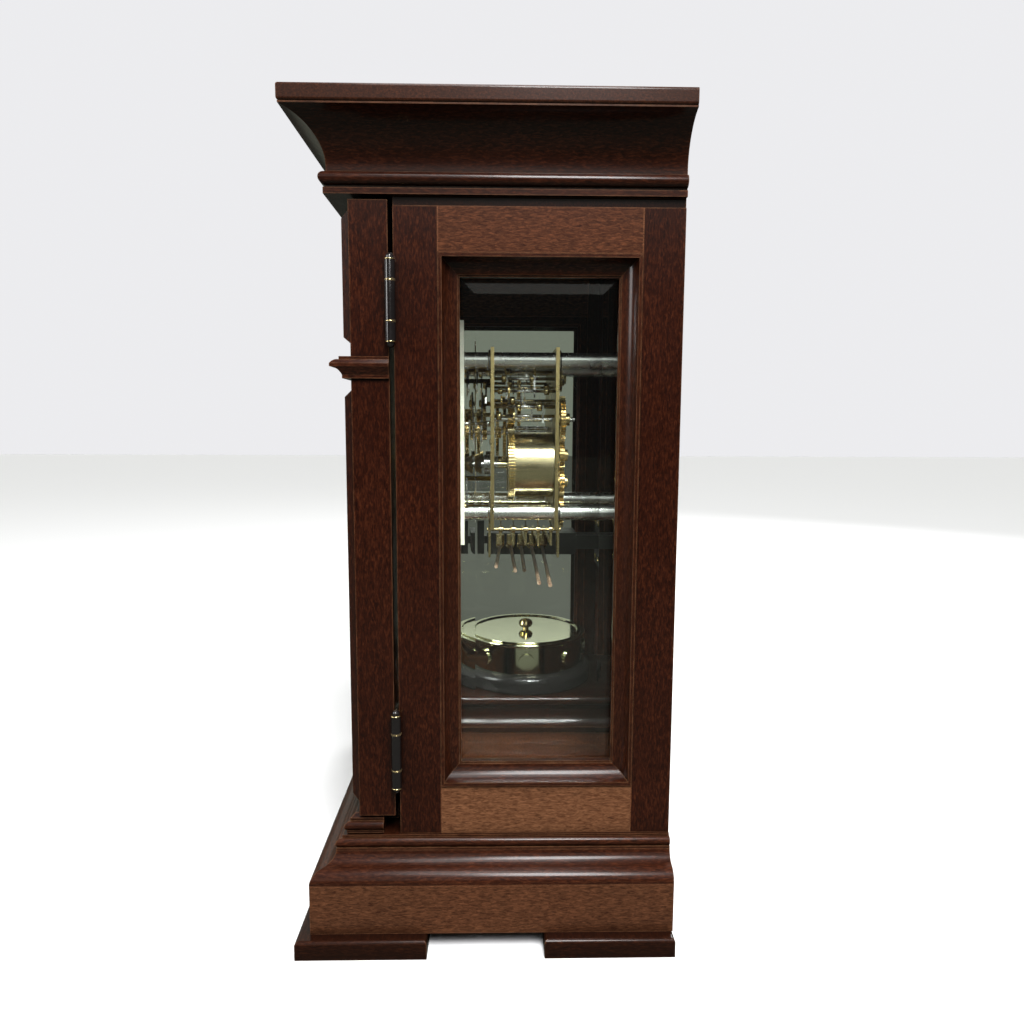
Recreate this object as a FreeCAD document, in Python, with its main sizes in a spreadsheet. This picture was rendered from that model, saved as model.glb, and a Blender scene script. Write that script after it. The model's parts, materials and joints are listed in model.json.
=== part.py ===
"""Glazed wooden mantel clock with a key-wound chiming movement and a keepsake box.

Frame: millimetres, +Z up, -Y towards the dial, +X to the clock's right-hand window.
The origin is the centre of the footprint on the surface that the clock stands on.
"""
import FreeCAD
import Part
import Sketcher
import math
import os

DOC = FreeCAD.newDocument("MantelClock")
SHEET = DOC.addObject("Spreadsheet::Sheet", "Sizes")
NODES = []

SIZES = {
    # case
    "case_half": 135.2, "case_front": -48.8, "case_back": 104.6,
    "side_low": 59.9, "side_high": 404.8, "side_thick": 20.0,
    "stile_front_wide": 23.3, "stile_rear_wide": 22.2,
    "rail_top_high": 23.5, "rail_low_high": 28.3,
    "window_bead_wide": 11.0, "window_bead_deep": 12.0, "window_lip": 0.8,
    "glass_thick": 3.4, "glass_edge": 1.6, "bevel_wide": 13.0,
    "back_thick": 12.0, "floor_low": 69.5, "floor_high": 84.5, "inner_half": 115.2,
    # cornice and top
    "crown_front": -82.2, "crown_depth": 20.0, "ceiling_low": 409.9, "frieze_high": 421.1,
    "cove_high": 448.3, "cove_out": 19.4, "cove_round": 24.5, "top_half": 155.1,
    "top_front": -102.1, "top_high": 457.0, "top_ease": 1.6,
    "frieze_bead": 3.4, "frieze_fillet": 2.0, "frieze_step": 0.8,
    # base
    "base_front": -80.2, "plinth_low": 10.5, "plinth_high": 38.6, "plinth_out": 17.2,
    "ogee_high": 52.4, "ogee_out": 4.5, "ogee_round": 7.2,
    "foot_side": 72.2, "foot_half": 159.6, "foot_ease": 2.0,
    # door
    "door_front": -71.9, "door_back": -51.5, "door_low": 70.8, "door_high": 407.7,
    "door_foot": 60.7, "door_foot_out": 9.0, "door_stile_wide": 38.0,
    "door_rail_high": 40.0, "door_sill_high": 46.0, "field_wide": 29.0, "field_proud": 5.2,
    "field_slope": 4.2, "waist_low": 316.0, "waist_high": 327.5, "waist_out": 10.8,
    "waist_return": 3.6, "field_upper_low": 334.1, "field_upper_high": 404.2,
    "field_lower_low": 76.0, "field_lower_high": 310.7,
    "pin_across": 138.5, "pin_forward": -50.15, "pin_round": 1.3, "knuckle_round": 2.8,
    "knuckle_bore": 1.35, "hinge_tall": 42.0, "knuckle_end": 10.0, "knuckle_gap": 0.9,
    "leaf_thick": 1.0, "leaf_wide": 17.0, "hinge_upper": 335.0, "hinge_lower": 89.0,
    # movement
    "dial_half": 69.5, "dial_centre": 285.5, "dial_back": -16.4, "dial_thick": 1.6,
    "ring_outer": 66.0, "ring_inner": 46.0, "ring_thick": 0.8, "hand_thick": 0.7,
    "pillar_round": 5.1, "pillar_across": 46.0, "pillar_upper": 332.6, "pillar_lower": 234.2,
    "plate_half": 54.0, "plate_low": 223.6, "plate_high": 340.4, "plate_thick": 2.2,
    "front_plate": 2.8, "rear_plate": 44.4, "pivot_play": 0.05, "arbor_round": 1.5,
    "tooth_module": 0.66, "rear_module": 0.75, "motion_module": 0.72, "wheel_thick": 2.2,
    "barrel_across": 35.0,
    "barrel_level": 265.0, "barrel_round": 21.4, "barrel_front": 17.4, "barrel_rear": 42.6,
    "great_wheel_front": 13.3, "winding_round": 2.4, "winding_rear": 6.0,
    "pivot_front": 1.4, "pivot_rear": 46.0, "balance_round": 8.5,
    # gong and hammers
    "block_face": -60.0, "block_wide": 32.0, "rod_level": 195.5, "rod_round": 1.2,
    "hammer_first": 8.4, "hammer_pitch": 8.3, "hammer_across": 43.0, "hammer_level": 222.4,
    "hammer_rod_round": 1.1, "hammer_head": -38.0,
    # shelf and keepsake box
    "shelf_half": 50.0, "shelf_high": 109.0, "box_centre": 27.0, "box_round": 41.0,
    "box_wall": 2.4, "box_low": 121.0, "box_high": 140.4, "box_foot_round": 46.5,
    "stud_round": 5.6,
}


class Size:
    """A length that remembers the spreadsheet expression it comes from."""

    def __init__(self, value, text):
        self.value = float(value)
        self.text = text

    @staticmethod
    def of(thing):
        if isinstance(thing, Size):
            return thing
        return Size(thing, "%.6g" % thing if thing >= 0 else "(%.6g)" % thing)

    def __add__(self, other):
        other = Size.of(other)
        return Size(self.value + other.value, "(%s + %s)" % (self.text, other.text))

    def __sub__(self, other):
        other = Size.of(other)
        return Size(self.value - other.value, "(%s - %s)" % (self.text, other.text))

    def __mul__(self, factor):
        factor = Size.of(factor)
        return Size(self.value * factor.value, "(%s * %s)" % (self.text, factor.text))

    def __truediv__(self, factor):
        factor = Size.of(factor)
        return Size(self.value / factor.value, "(%s / %s)" % (self.text, factor.text))

    def __neg__(self):
        return Size(-self.value, "(-1 * %s)" % self.text)

    def __radd__(self, other):
        return Size.of(other) + self

    def __rsub__(self, other):
        return Size.of(other) - self

    def __rmul__(self, other):
        return Size.of(other) * self


def fill_sheet():
    """Write every driving size into the sheet and hand back a Size for each."""
    sizes = {}
    for row, (alias, value) in enumerate(SIZES.items(), start=1):
        SHEET.set("A%d" % row, alias)
        SHEET.set("B%d" % row, "%.6g" % value)
        SHEET.setAlias("B%d" % row, alias)
        sizes[alias] = Size(value, "Sizes.%s" % alias)
    DOC.recompute()
    return sizes


S = fill_sheet()


def bind(thing, prop, size):
    """Drive one property of an object from the sheet."""
    thing.setExpression(prop, Size.of(size).text)


def place(thing, x, y, z, axis=None, angle=0):
    """Put an object at x, y, z, turned about an axis by a fixed angle."""
    if axis:
        turn = FreeCAD.Rotation(FreeCAD.Vector(*axis), angle)
        thing.Placement = FreeCAD.Placement(FreeCAD.Vector(), turn)
    for name, value in zip("xyz", (x, y, z)):
        bind(thing, "Placement.Base." + name, value)


def node(thing, name):
    """Name an object as a sub-part that is written out."""
    thing.Label = name
    NODES.append(thing)
    return thing


def box(x, y, z):
    """A block between two limits along each of X, Y and Z."""
    block = DOC.addObject("Part::Box", "Block")
    for prop, (low, high) in zip(("Length", "Width", "Height"), (x, y, z)):
        bind(block, prop, Size.of(high) - low)
    place(block, x[0], y[0], z[0])
    return block


TURNS = {"+Z": ((1, 0, 0), 0), "+Y": ((1, 0, 0), -90), "+X": ((0, 1, 0), 90), "-Y": ((1, 0, 0), 90)}


def cylinder(radius, height, at, along="+Z"):
    """A round bar that starts at a point and runs along an axis."""
    bar = DOC.addObject("Part::Cylinder", "Bar")
    bind(bar, "Radius", radius)
    bind(bar, "Height", height)
    place(bar, at[0], at[1], at[2], *TURNS[along])
    return bar


def cone(radius, tip_radius, height, at, along="+Z"):
    """A tapered bar that starts at a point and runs along an axis."""
    bar = DOC.addObject("Part::Cone", "Taper")
    bind(bar, "Radius1", radius)
    bind(bar, "Radius2", tip_radius)
    bind(bar, "Height", height)
    place(bar, at[0], at[1], at[2], *TURNS[along])
    return bar


def fuse(*members):
    """One solid made of overlapping members."""
    joined = DOC.addObject("Part::MultiFuse", "Joined")
    joined.Shapes = list(members)
    joined.Refine = True
    return joined


def cut(base, *tools):
    """The base with the tools taken away."""
    result = DOC.addObject("Part::Cut", "Cut")
    result.Base = base
    result.Tool = tools[0] if len(tools) == 1 else group(*tools)
    return result


def common(base, tool):
    """What two objects share."""
    result = DOC.addObject("Part::Common", "Shared")
    result.Base = base
    result.Tool = tool
    return result


def group(*members):
    """Separate solids kept together."""
    kept = DOC.addObject("Part::Compound", "Group")
    kept.Links = list(members)
    return kept


def mirror(source, normal, base=(0, 0, 0)):
    """A mirror image across a plane through base."""
    image = DOC.addObject("Part::Mirroring", "Mirrored")
    image.Source = source
    image.Normal = FreeCAD.Vector(*normal)
    for name, value in zip("xyz", base):
        bind(image, "Base." + name, value)
    return image


def both_sides(thing):
    """An object and its mirror image across the clock's middle."""
    return group(thing, mirror(thing, (1, 0, 0)))


def arc_between(start, end, radius):
    """Centre of the arc from start to end: a positive radius keeps it on the left."""
    middle = (start + end) * 0.5
    chord = end - start
    left = FreeCAD.Vector(-chord.y, chord.x, 0).normalize()
    reach = math.sqrt(max(radius * radius - chord.Length ** 2 / 4, 0))
    return middle + left * math.copysign(reach, radius)


def draw(sketch, outline):
    """Closed outline: (x, y) is reached by a line, (x, y, radius) by an arc."""
    corners = [FreeCAD.Vector(Size.of(p[0]).value, Size.of(p[1]).value, 0) for p in outline]
    for index, point in enumerate(outline):
        start, end = corners[index - 1], corners[index]
        last = 2
        if len(point) == 2:
            edge = sketch.addGeometry(Part.LineSegment(start, end), False)
        else:
            radius = Size.of(point[2])
            centre = arc_between(start, end, radius.value)
            circle = Part.Circle(centre, FreeCAD.Vector(0, 0, 1), abs(radius.value))
            turns = [math.atan2(v.y - centre.y, v.x - centre.x) for v in (start, end)]
            if radius.value < 0:
                turns.reverse()
                last = 1
            edge = sketch.addGeometry(Part.ArcOfCircle(circle, *turns), False)
            number = sketch.addConstraint(Sketcher.Constraint("Radius", edge, abs(radius.value)))
            driver = radius if radius.value > 0 else -radius
            sketch.setExpression("Constraints[%d]" % number, driver.text)
        for kind, value in (("DistanceX", point[0]), ("DistanceY", point[1])):
            value = Size.of(value)
            number = sketch.addConstraint(
                Sketcher.Constraint(kind, -1, 1, edge, last, value.value))
            sketch.setExpression("Constraints[%d]" % number, value.text)
    for index, point in enumerate(outline):
        before = outline[index - 1]
        count = len(outline)
        first = 1 if len(point) == 2 or Size.of(point[2]).value > 0 else 2
        last = 2 if len(before) == 2 or Size.of(before[2]).value > 0 else 1
        sketch.addConstraint(
            Sketcher.Constraint("Coincident", (index - 1) % count, last, index, first))


def origin_plane(body, role):
    """One of a body's own base planes."""
    return next(f for f in body.Origin.OriginFeatures if f.Role == role)


def padded(outline, low, high, plane="XY_Plane"):
    """A body whose outline is drawn on a base plane and runs from low to high."""
    body = DOC.addObject("PartDesign::Body", "Shape")
    sketch = body.newObject("Sketcher::SketchObject", "Outline")
    sketch.AttachmentSupport = (origin_plane(body, plane), [""])
    sketch.MapMode = "FlatFace"
    draw(sketch, outline)
    pad = body.newObject("PartDesign::Pad", "Pad")
    pad.Profile = sketch
    bind(pad, "Length", Size.of(high) - low)
    start = Size.of(low)
    if plane == "XZ_Plane":
        start = -Size.of(high)
    bind(sketch, "AttachmentOffset.Base.z", start)
    return body


def turned(outline, at, along="+Z"):
    """A body turned on a lathe: the outline holds (radius, distance along the axis)."""
    body = DOC.addObject("PartDesign::Body", "Turning")
    sketch = body.newObject("Sketcher::SketchObject", "Outline")
    sketch.AttachmentSupport = (origin_plane(body, "XZ_Plane"), [""])
    sketch.MapMode = "FlatFace"
    draw(sketch, outline)
    lathe = body.newObject("PartDesign::Revolution", "Lathe")
    lathe.Profile = sketch
    lathe.ReferenceAxis = (sketch, ["V_Axis"])
    lathe.Angle = 360
    place(body, at[0], at[1], at[2], *TURNS[along])
    return body


def mitred_frame(half_u, half_v, outline, sides, reach=24):
    """Moulding runs round a rectangle, each a solid with mitred ends.

    The outline holds (distance outward from the rectangle, height). Three sides leave the
    +v side open with square ends; four sides close the frame.
    """
    half_u, half_v = Size.of(half_u), Size.of(half_v)
    heights = [Size.of(p[1]) for p in outline]
    low = min(heights, key=lambda s: s.value) - 1
    high = max(heights, key=lambda s: s.value) + 1
    far_u, far_v = half_u + reach, half_v + reach
    near_u, near_v = half_u - reach, half_v - reach
    front_plan = [(-far_u, -far_v), (far_u, -far_v), (near_u, -near_v), (-near_u, -near_v)]
    if sides == 4:
        side_plan = [(far_u, -far_v), (far_u, far_v), (near_u, near_v), (near_u, -near_v)]
    else:
        side_plan = [(far_u, -far_v), (far_u, half_v), (near_u, half_v), (near_u, -near_v)]
    front_line = [(-half_v - p[0],) + tuple(p[1:]) for p in outline]
    front_line = [p if len(p) == 2 else (p[0], p[1], -Size.of(p[2])) for p in front_line]
    side_line = [(half_u + p[0],) + tuple(p[1:]) for p in outline]
    front = common(padded(front_line, -far_u, far_u, "YZ_Plane"), padded(front_plan, low, high))
    right = common(padded(side_line, -far_v, far_v, "XZ_Plane"), padded(side_plan, low, high))
    runs = [front, right, mirror(right, (1, 0, 0))]
    if sides == 4:
        runs.append(mirror(front, (0, 1, 0)))
    return group(*runs)


def stand_frame(frame, x, y, z, facing):
    """Stand a flat frame upright, its front facing +X, -X or -Y."""
    turns = {"+X": FreeCAD.Rotation(FreeCAD.Vector(0, 1, 0), FreeCAD.Vector(0, 0, 1),
                                    FreeCAD.Vector(1, 0, 0), "ZXY"),
             "-Y": FreeCAD.Rotation(FreeCAD.Vector(1, 0, 0), FreeCAD.Vector(0, 0, 1),
                                    FreeCAD.Vector(0, -1, 0), "ZXY")}
    frame.Placement = FreeCAD.Placement(FreeCAD.Vector(), turns[facing])
    for name, value in zip("xyz", (x, y, z)):
        bind(frame, "Placement.Base." + name, value)
    return frame


def bevelled_pane(half_u, half_v, facing, x, y, z):
    """Plate glass with a wide ground bevel round its outer face."""
    half_u, half_v = Size.of(half_u), Size.of(half_v)
    rim = box((-half_u, half_u), (-half_v, half_v), (0, S["glass_edge"]))
    crown = DOC.addObject("Part::Wedge", "Bevel")
    bevel = S["bevel_wide"]
    limits = {"Xmin": -half_u, "Xmax": half_u, "Zmin": -half_v, "Zmax": half_v,
              "X2min": bevel - half_u, "X2max": half_u - bevel,
              "Z2min": bevel - half_v, "Z2max": half_v - bevel,
              "Ymin": 0, "Ymax": S["glass_thick"] - S["glass_edge"]}
    for prop, value in limits.items():
        bind(crown, prop, value)
    place(crown, 0, 0, S["glass_edge"], (1, 0, 0), 90)
    return stand_frame(fuse(rim, crown), x, y, z, facing)


def top_and_crown():
    """Top board, cove, frieze bead and the board that closes the case."""
    board = DOC.addObject("PartDesign::Body", "TopBoard")
    sketch = board.newObject("Sketcher::SketchObject", "Outline")
    sketch.AttachmentSupport = (origin_plane(board, "XY_Plane"), [""])
    sketch.MapMode = "FlatFace"
    half, front, back = S["top_half"], S["top_front"], S["case_back"]
    draw(sketch, [(-half, front), (half, front), (half, back), (-half, back)])
    pad = board.newObject("PartDesign::Pad", "Pad")
    pad.Profile = sketch
    bind(pad, "Length", S["top_high"] - S["cove_high"])
    DOC.recompute()
    ease = board.newObject("PartDesign::Fillet", "Ease")
    edges = [e for e, edge in enumerate(pad.Shape.Edges, 1)
             if edge.CenterOfMass.y < back.value - 1 and edge.BoundBox.ZLength < 1]
    ease.Base = (pad, ["Edge%d" % e for e in edges])
    bind(ease, "Radius", S["top_ease"])
    bind(board, "Placement.Base.z", S["cove_high"])
    node(board, "top_board")

    depth = (S["case_back"] - S["crown_front"]) / 2
    middle = (S["case_back"] + S["crown_front"]) / 2
    inside = -S["crown_depth"]
    bottom, shoulder = S["frieze_high"], S["cove_high"]
    cove = [(inside, bottom), (0.5, bottom), (0.5, bottom + 1.2),
            (S["cove_out"], shoulder - 0.8, -S["cove_round"]), (S["cove_out"], shoulder),
            (inside, shoulder)]
    cove_frame = mitred_frame(S["case_half"], depth, cove, 3, 26)
    bind(cove_frame, "Placement.Base.y", middle)

    low = S["ceiling_low"]
    step, fillet, round_ = S["frieze_step"], S["frieze_fillet"], S["frieze_bead"]
    bead_low = bottom - round_ * 2
    bead = [(inside, low), (fillet, low), (fillet, low + 3.2), (step, low + 3.2),
            (step, bead_low), (step, bottom, round_ * 1.001), (inside, bottom)]
    bead_frame = mitred_frame(S["case_half"], depth, bead, 3, 26)
    bind(bead_frame, "Placement.Base.y", middle)
    node(group(cove_frame, bead_frame), "cornice_moulding")

    inner = S["inner_half"]
    lower = box((1 - S["case_half"], S["case_half"] - 1), (S["case_front"], back),
                (S["side_high"], low))
    upper = box((-inner, inner), (S["crown_front"] + S["crown_depth"], back), (low, bottom))
    rear_fill = box((-inner, inner), (back - S["back_thick"], back), (bottom, shoulder))
    node(fuse(lower, upper, rear_fill), "case_ceiling")


def side_walls():
    """Stiles, rails, window mouldings and bevelled panes of both glazed sides."""
    half, thick = S["case_half"], S["side_thick"]
    front, back = S["case_front"], S["case_back"]
    low, high = S["side_low"], S["side_high"]
    window_front = front + S["stile_front_wide"]
    window_back = back - S["stile_rear_wide"]
    window_low = low + S["rail_low_high"]
    window_high = high - S["rail_top_high"]
    span = (half - thick, half)
    stiles = group(box(span, (front, window_front), (low, high)),
                   box(span, (window_back, back), (low, high)))
    rails = group(box(span, (window_front, window_back), (low, window_low)),
                  box(span, (window_front, window_back), (window_high, high)))
    wide, deep, lip = S["window_bead_wide"], S["window_bead_deep"], S["window_lip"]
    outline = [(0, -deep), (0, lip), (-2.0, lip), (-2.0, 0.2), (1 - wide, -7.0, -9.0),
               (1 - wide, -7.8), (-wide, -7.8), (-wide, -deep)]
    half_y = (window_back - window_front) / 2
    half_z = (window_high - window_low) / 2
    middle_y = (window_back + window_front) / 2
    middle_z = (window_high + window_low) / 2
    moulding = stand_frame(mitred_frame(half_y, half_z, outline, 4), half, middle_y,
                           middle_z, "+X")
    pane_y, pane_z = half_y - wide + 5, half_z - wide + 5
    pane = bevelled_pane(pane_y, pane_z, "+X", half - deep - S["glass_thick"], middle_y,
                         middle_z)
    stop_low = -thick + 0.5
    stop_high = -deep - S["glass_thick"]
    stop_outline = [(0, stop_low), (0, stop_high), (-8, stop_high), (-8, stop_high - 2),
                    (-6, stop_low)]
    stops = stand_frame(mitred_frame(half_y, half_z, stop_outline, 4), half, middle_y,
                        middle_z, "+X")
    inner = S["inner_half"]
    front_rail = box((-inner, inner), (front, front + thick), (window_high, high))
    node(both_sides(stiles), "side_stiles")
    node(group(both_sides(rails), front_rail), "case_rails")
    node(both_sides(group(moulding, stops)), "window_beads")
    node(both_sides(pane), "side_glass")


def case_inside():
    """Back board, floor, front rails and the moulded shelf under the keepsake box."""
    inner, back = S["inner_half"], S["case_back"]
    low, high = S["side_low"], S["side_high"]
    board_face = back - S["back_thick"]
    node(box((-inner, inner), (board_face, back), (low, high)), "back_board")
    floor_high = S["floor_high"]
    rail_back = S["case_front"] + 20
    node(fuse(box((-inner, inner), (rail_back, board_face), (S["floor_low"], floor_high)),
              box((-inner, inner), (S["case_front"], rail_back), (low, floor_high))),
         "case_floor")
    half, top = S["shelf_half"], S["shelf_high"]
    profile = [(half, floor_high), (half, floor_high + 4), (half - 1.2, floor_high + 4),
               (half - 5, top - 8, -9.0), (half - 5, top - 6.4), (half - 3.2, top - 6.4),
               (half - 3.2, top, 3.3), (3.2 - half, top), (3.2 - half, top - 6.4, 3.3),
               (5 - half, top - 6.4), (5 - half, top - 8), (1.2 - half, floor_high + 4, -9.0),
               (-half, floor_high + 4), (-half, floor_high)]
    node(padded(profile, rail_back + 2, board_face, "XZ_Plane"), "display_shelf")


def base_and_feet():
    """Bead, ogee and plinth mouldings round a solid core, on four square feet."""
    depth = (S["case_back"] - S["base_front"]) / 2
    middle = (S["case_back"] + S["base_front"]) / 2
    inside = -S["crown_depth"]
    top, shoulder, ledge = S["side_low"], S["ogee_high"], S["plinth_high"]
    out, far, sweep = S["ogee_out"], S["plinth_out"], S["ogee_round"]
    waist = (out + far) / 2
    centre = (shoulder + ledge) / 2
    bead = [(inside, shoulder), (out, shoulder), (out, shoulder + 1.4),
            (out - 1, shoulder + 1.4), (out - 1.4, top - 1.2, 2.8), (out - 3, top - 1.2),
            (out - 3, top), (inside, top)]
    ogee = [(inside, ledge), (far, ledge), (far, ledge + 1.6), (waist, centre + 0.4, sweep),
            (out, shoulder, -sweep), (inside, shoulder)]
    plinth = [(far - 20, S["plinth_low"]), (far, S["plinth_low"]), (far, ledge), (far - 20, ledge)]
    frames = []
    for outline in (bead, ogee, plinth):
        frame = mitred_frame(S["case_half"], depth, outline, 3, 28)
        bind(frame, "Placement.Base.y", middle)
        frames.append(frame)
    node(group(*frames[:2]), "base_moulding")
    node(frames[2], "plinth")
    half = S["case_half"]
    lower_half = half + far - 20
    lower_front = S["base_front"] - far + 20
    lower = box((-lower_half, lower_half), (lower_front, S["case_back"]),
                (S["plinth_low"] + 10, ledge))
    upper_half = half + inside
    upper = box((-upper_half, upper_half), (S["base_front"] - inside, S["case_back"]),
                (ledge, top))
    node(fuse(lower, upper), "base_core")

    side, edge = S["foot_side"], S["foot_half"]
    foot = DOC.addObject("PartDesign::Body", "Foot")
    sketch = foot.newObject("Sketcher::SketchObject", "Outline")
    sketch.AttachmentSupport = (origin_plane(foot, "XY_Plane"), [""])
    sketch.MapMode = "FlatFace"
    back = S["case_back"]
    draw(sketch, [(edge - side, -back), (edge, -back), (edge, side - back),
                  (edge - side, side - back)])
    pad = foot.newObject("PartDesign::Pad", "Pad")
    pad.Profile = sketch
    bind(pad, "Length", S["plinth_low"])
    DOC.recompute()
    ease = foot.newObject("PartDesign::Fillet", "Ease")
    edges = [e for e, line in enumerate(pad.Shape.Edges, 1)
             if abs(line.CenterOfMass.z - S["plinth_low"].value) < 0.01]
    ease.Base = (pad, ["Edge%d" % e for e in edges])
    bind(ease, "Radius", S["foot_ease"])
    rear = mirror(foot, (0, 1, 0))
    node(group(foot, mirror(foot, (1, 0, 0)), rear, mirror(rear, (1, 0, 0))), "feet")


def raised_field(low, high):
    """A pilaster field: a flat face with sloping edges all round."""
    field = DOC.addObject("Part::Wedge", "Field")
    wide, slope = S["field_wide"], S["field_slope"]
    tall = Size.of(high) - low
    limits = {"Xmin": 0, "Xmax": wide, "Zmin": 0, "Zmax": tall, "X2min": slope,
              "X2max": wide - slope, "Z2min": slope, "Z2max": tall - slope,
              "Ymin": 0, "Ymax": S["field_proud"]}
    for prop, value in limits.items():
        bind(field, prop, value)
    left = S["case_half"] - (S["door_stile_wide"] + wide) / 2
    place(field, left + wide, S["door_front"], low, (0, 0, 1), 180)
    return field


def door():
    """The glazed front door with its pilasters and mouldings."""
    half, wide = S["case_half"], S["door_stile_wide"]
    front, back = S["door_front"], S["door_back"]
    low, high = S["door_low"], S["door_high"]
    node(both_sides(box((half - wide, half), (front, back), (low, high))), "door_stiles")
    opening = half - wide
    sill, lintel = low + S["door_sill_high"], high - S["door_rail_high"]
    node(group(box((-opening, opening), (front, back), (low, sill)),
               box((-opening, opening), (front, back), (lintel, high))), "door_rails")
    node(both_sides(group(raised_field(S["field_upper_low"], S["field_upper_high"]),
                          raised_field(S["field_lower_low"], S["field_lower_high"]))),
         "pilaster_fields")

    waist_low, waist_high, out = S["waist_low"], S["waist_high"], S["waist_out"]
    tip = waist_low + 6.2
    cap = [(-4, waist_low), (4.5, waist_low), (4.5, waist_low + 1.8), (out, tip, -7.0),
           (out, tip + 1.6), (6, waist_high - 1.6, 4.6), (6, waist_high), (-4, waist_high)]
    across = [(front - p[0],) + tuple(p[1:]) for p in cap[1:-1]]
    across = [p if len(p) == 2 else (p[0], p[1], -Size.of(p[2])) for p in across]
    across = [(back, waist_low)] + across + [(back, waist_high)]
    share = S["waist_return"] / S["waist_out"]
    along = [(half + share * p[0], p[1]) for p in cap[1:-1]]
    along = [(opening, waist_low)] + along + [(opening, waist_high)]
    body = common(padded(across, opening - 1, half + 12, "YZ_Plane"),
                  padded(along, front - 14, back, "XZ_Plane"))
    notch = box((0, half), (front, back), (waist_low - 5, waist_high + 5))
    node(both_sides(cut(body, notch)), "waist_mouldings")

    foot, foot_out = S["door_foot"], S["door_foot_out"]
    door_depth = (back - front) / 2
    sweep = [(-12, foot), (foot_out - 1.6, foot), (foot_out - 1.6, foot + 1.6),
             (foot_out - 2.2, foot + 1.6), (foot_out - 2.2, foot + 6.4, 2.5),
             (foot_out - 3.4, foot + 6.4), (foot_out - 3.4, foot + 8), (3, low), (-12, low)]
    outline = [(p[0] - foot_out + 2.2,) + tuple(p[1:]) for p in sweep]
    base = mitred_frame(half, door_depth, outline, 3, 14)
    bind(base, "Placement.Base.y", (front + back) / 2 - foot_out + 2.2)
    core_front = front - foot_out + 2.2 + 12 + 7
    node(fuse(base, box((-half + 16, half - 16), (core_front, back), (foot, low))),
         "door_base_moulding")

    half_z = (lintel - sill) / 2
    middle_z = (lintel + sill) / 2
    bead = [(0, -9), (0, 0.6), (-1.6, 0.6), (-1.6, 0), (-7, -5, -6.4), (-8, -5), (-8, -9)]
    beads = stand_frame(mitred_frame(opening, half_z, bead, 4), 0, front, middle_z, "-Y")
    pane_back = front + 9 + S["glass_thick"]
    node(bevelled_pane(opening - 3, half_z - 3, "-Y", 0, pane_back, middle_z), "door_glass")
    stop = [(0, -18), (0, -9 - S["glass_thick"]), (-7, -9 - S["glass_thick"]), (-5, -18)]
    stops = stand_frame(mitred_frame(opening, half_z, stop, 4), 0, front, middle_z, "-Y")
    node(group(beads, stops), "door_glass_beads")
    knob_at = (-half + wide / 2, front - S["field_proud"], S["dial_centre"] - 45)
    knob = [(0, 0), (5.2, 0), (5.2, 1.0), (2.6, 2.4, -2.6), (2.6, 4.6), (5.4, 8.4, 4.4),
            (3.4, 11.8, 4.6), (0.8, 12.6, 6.0), (0, 12.6)]
    node(turned(knob, knob_at, "-Y"), "door_knob")
    catch = box((-half + 42, -half + 66), (back, back + 1.0), (high - 26, high - 8))
    node(catch, "catch_plate")


def catch_and_hinges():
    """Magnetic catch and the two butt hinges with their pins."""
    half, back = S["case_half"], S["door_back"]
    high = S["door_high"]
    face = back + 1.4
    node(box((-half + 42, -half + 66), (face, S["case_front"]), (high - 24, high - 10)),
         "magnetic_catch")
    x, y = S["pin_across"], S["pin_forward"]
    end, gap, tall = S["knuckle_end"], S["knuckle_gap"], S["hinge_tall"]
    case_parts, door_parts, pins, rings = [], [], [], []
    leaf_inner = half - S["leaf_wide"]
    for low in (S["hinge_upper"], S["hinge_lower"]):
        high = low + tall
        spans = ((low, low + end), (low + end + gap, high - end - gap), (high - end, high))
        barrels = [cylinder(S["knuckle_round"], top - base, (x, y, base))
                   for base, top in spans]
        case_leaf = box((leaf_inner, x), (S["case_front"] - S["leaf_thick"], S["case_front"]),
                        (low, high))
        door_leaf = box((leaf_inner, x), (back, back + S["leaf_thick"]), (low, high))
        clear = 0.3
        middle_room = cylinder(S["knuckle_round"] + clear, tall - end * 2,
                               (x, y, low + end))
        end_room = [cylinder(S["knuckle_round"] + clear, end + gap, (x, y, base))
                    for base in (low, high - end - gap)]
        bore = cylinder(S["knuckle_bore"], tall, (x, y, low))
        tight = cylinder(S["pin_round"], tall, (x, y, low))
        case_leaf = cut(case_leaf, middle_room)
        door_leaf = cut(door_leaf, *end_room)
        case_parts.append(cut(fuse(case_leaf, barrels[0], barrels[2]), tight))
        door_parts.append(cut(fuse(door_leaf, barrels[1]), bore))
        ball = turned([(0, 0), (S["pin_round"] + 0.9, 0), (S["pin_round"] + 0.9, 0.8),
                       (0.7, 3.2, 2.4), (0, 3.2)], (x, y, high))
        lower_ball = mirror(ball, (0, 0, 1), (0, 0, low + tall / 2))
        pins.append(fuse(tight, ball, lower_ball))
        for base in (low + end, high - end - gap):
            ring = cut(cylinder(S["knuckle_round"] + 0.2, gap * 0.6, (x, y, base + gap * 0.2)),
                       cylinder(S["pin_round"], gap, (x, y, base)))
            rings.append(ring)
    node(group(*case_parts), "case_hinge_leaves")
    node(group(*door_parts), "door_hinge_leaves")
    node(group(*pins, *rings), "hinge_pins")


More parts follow.
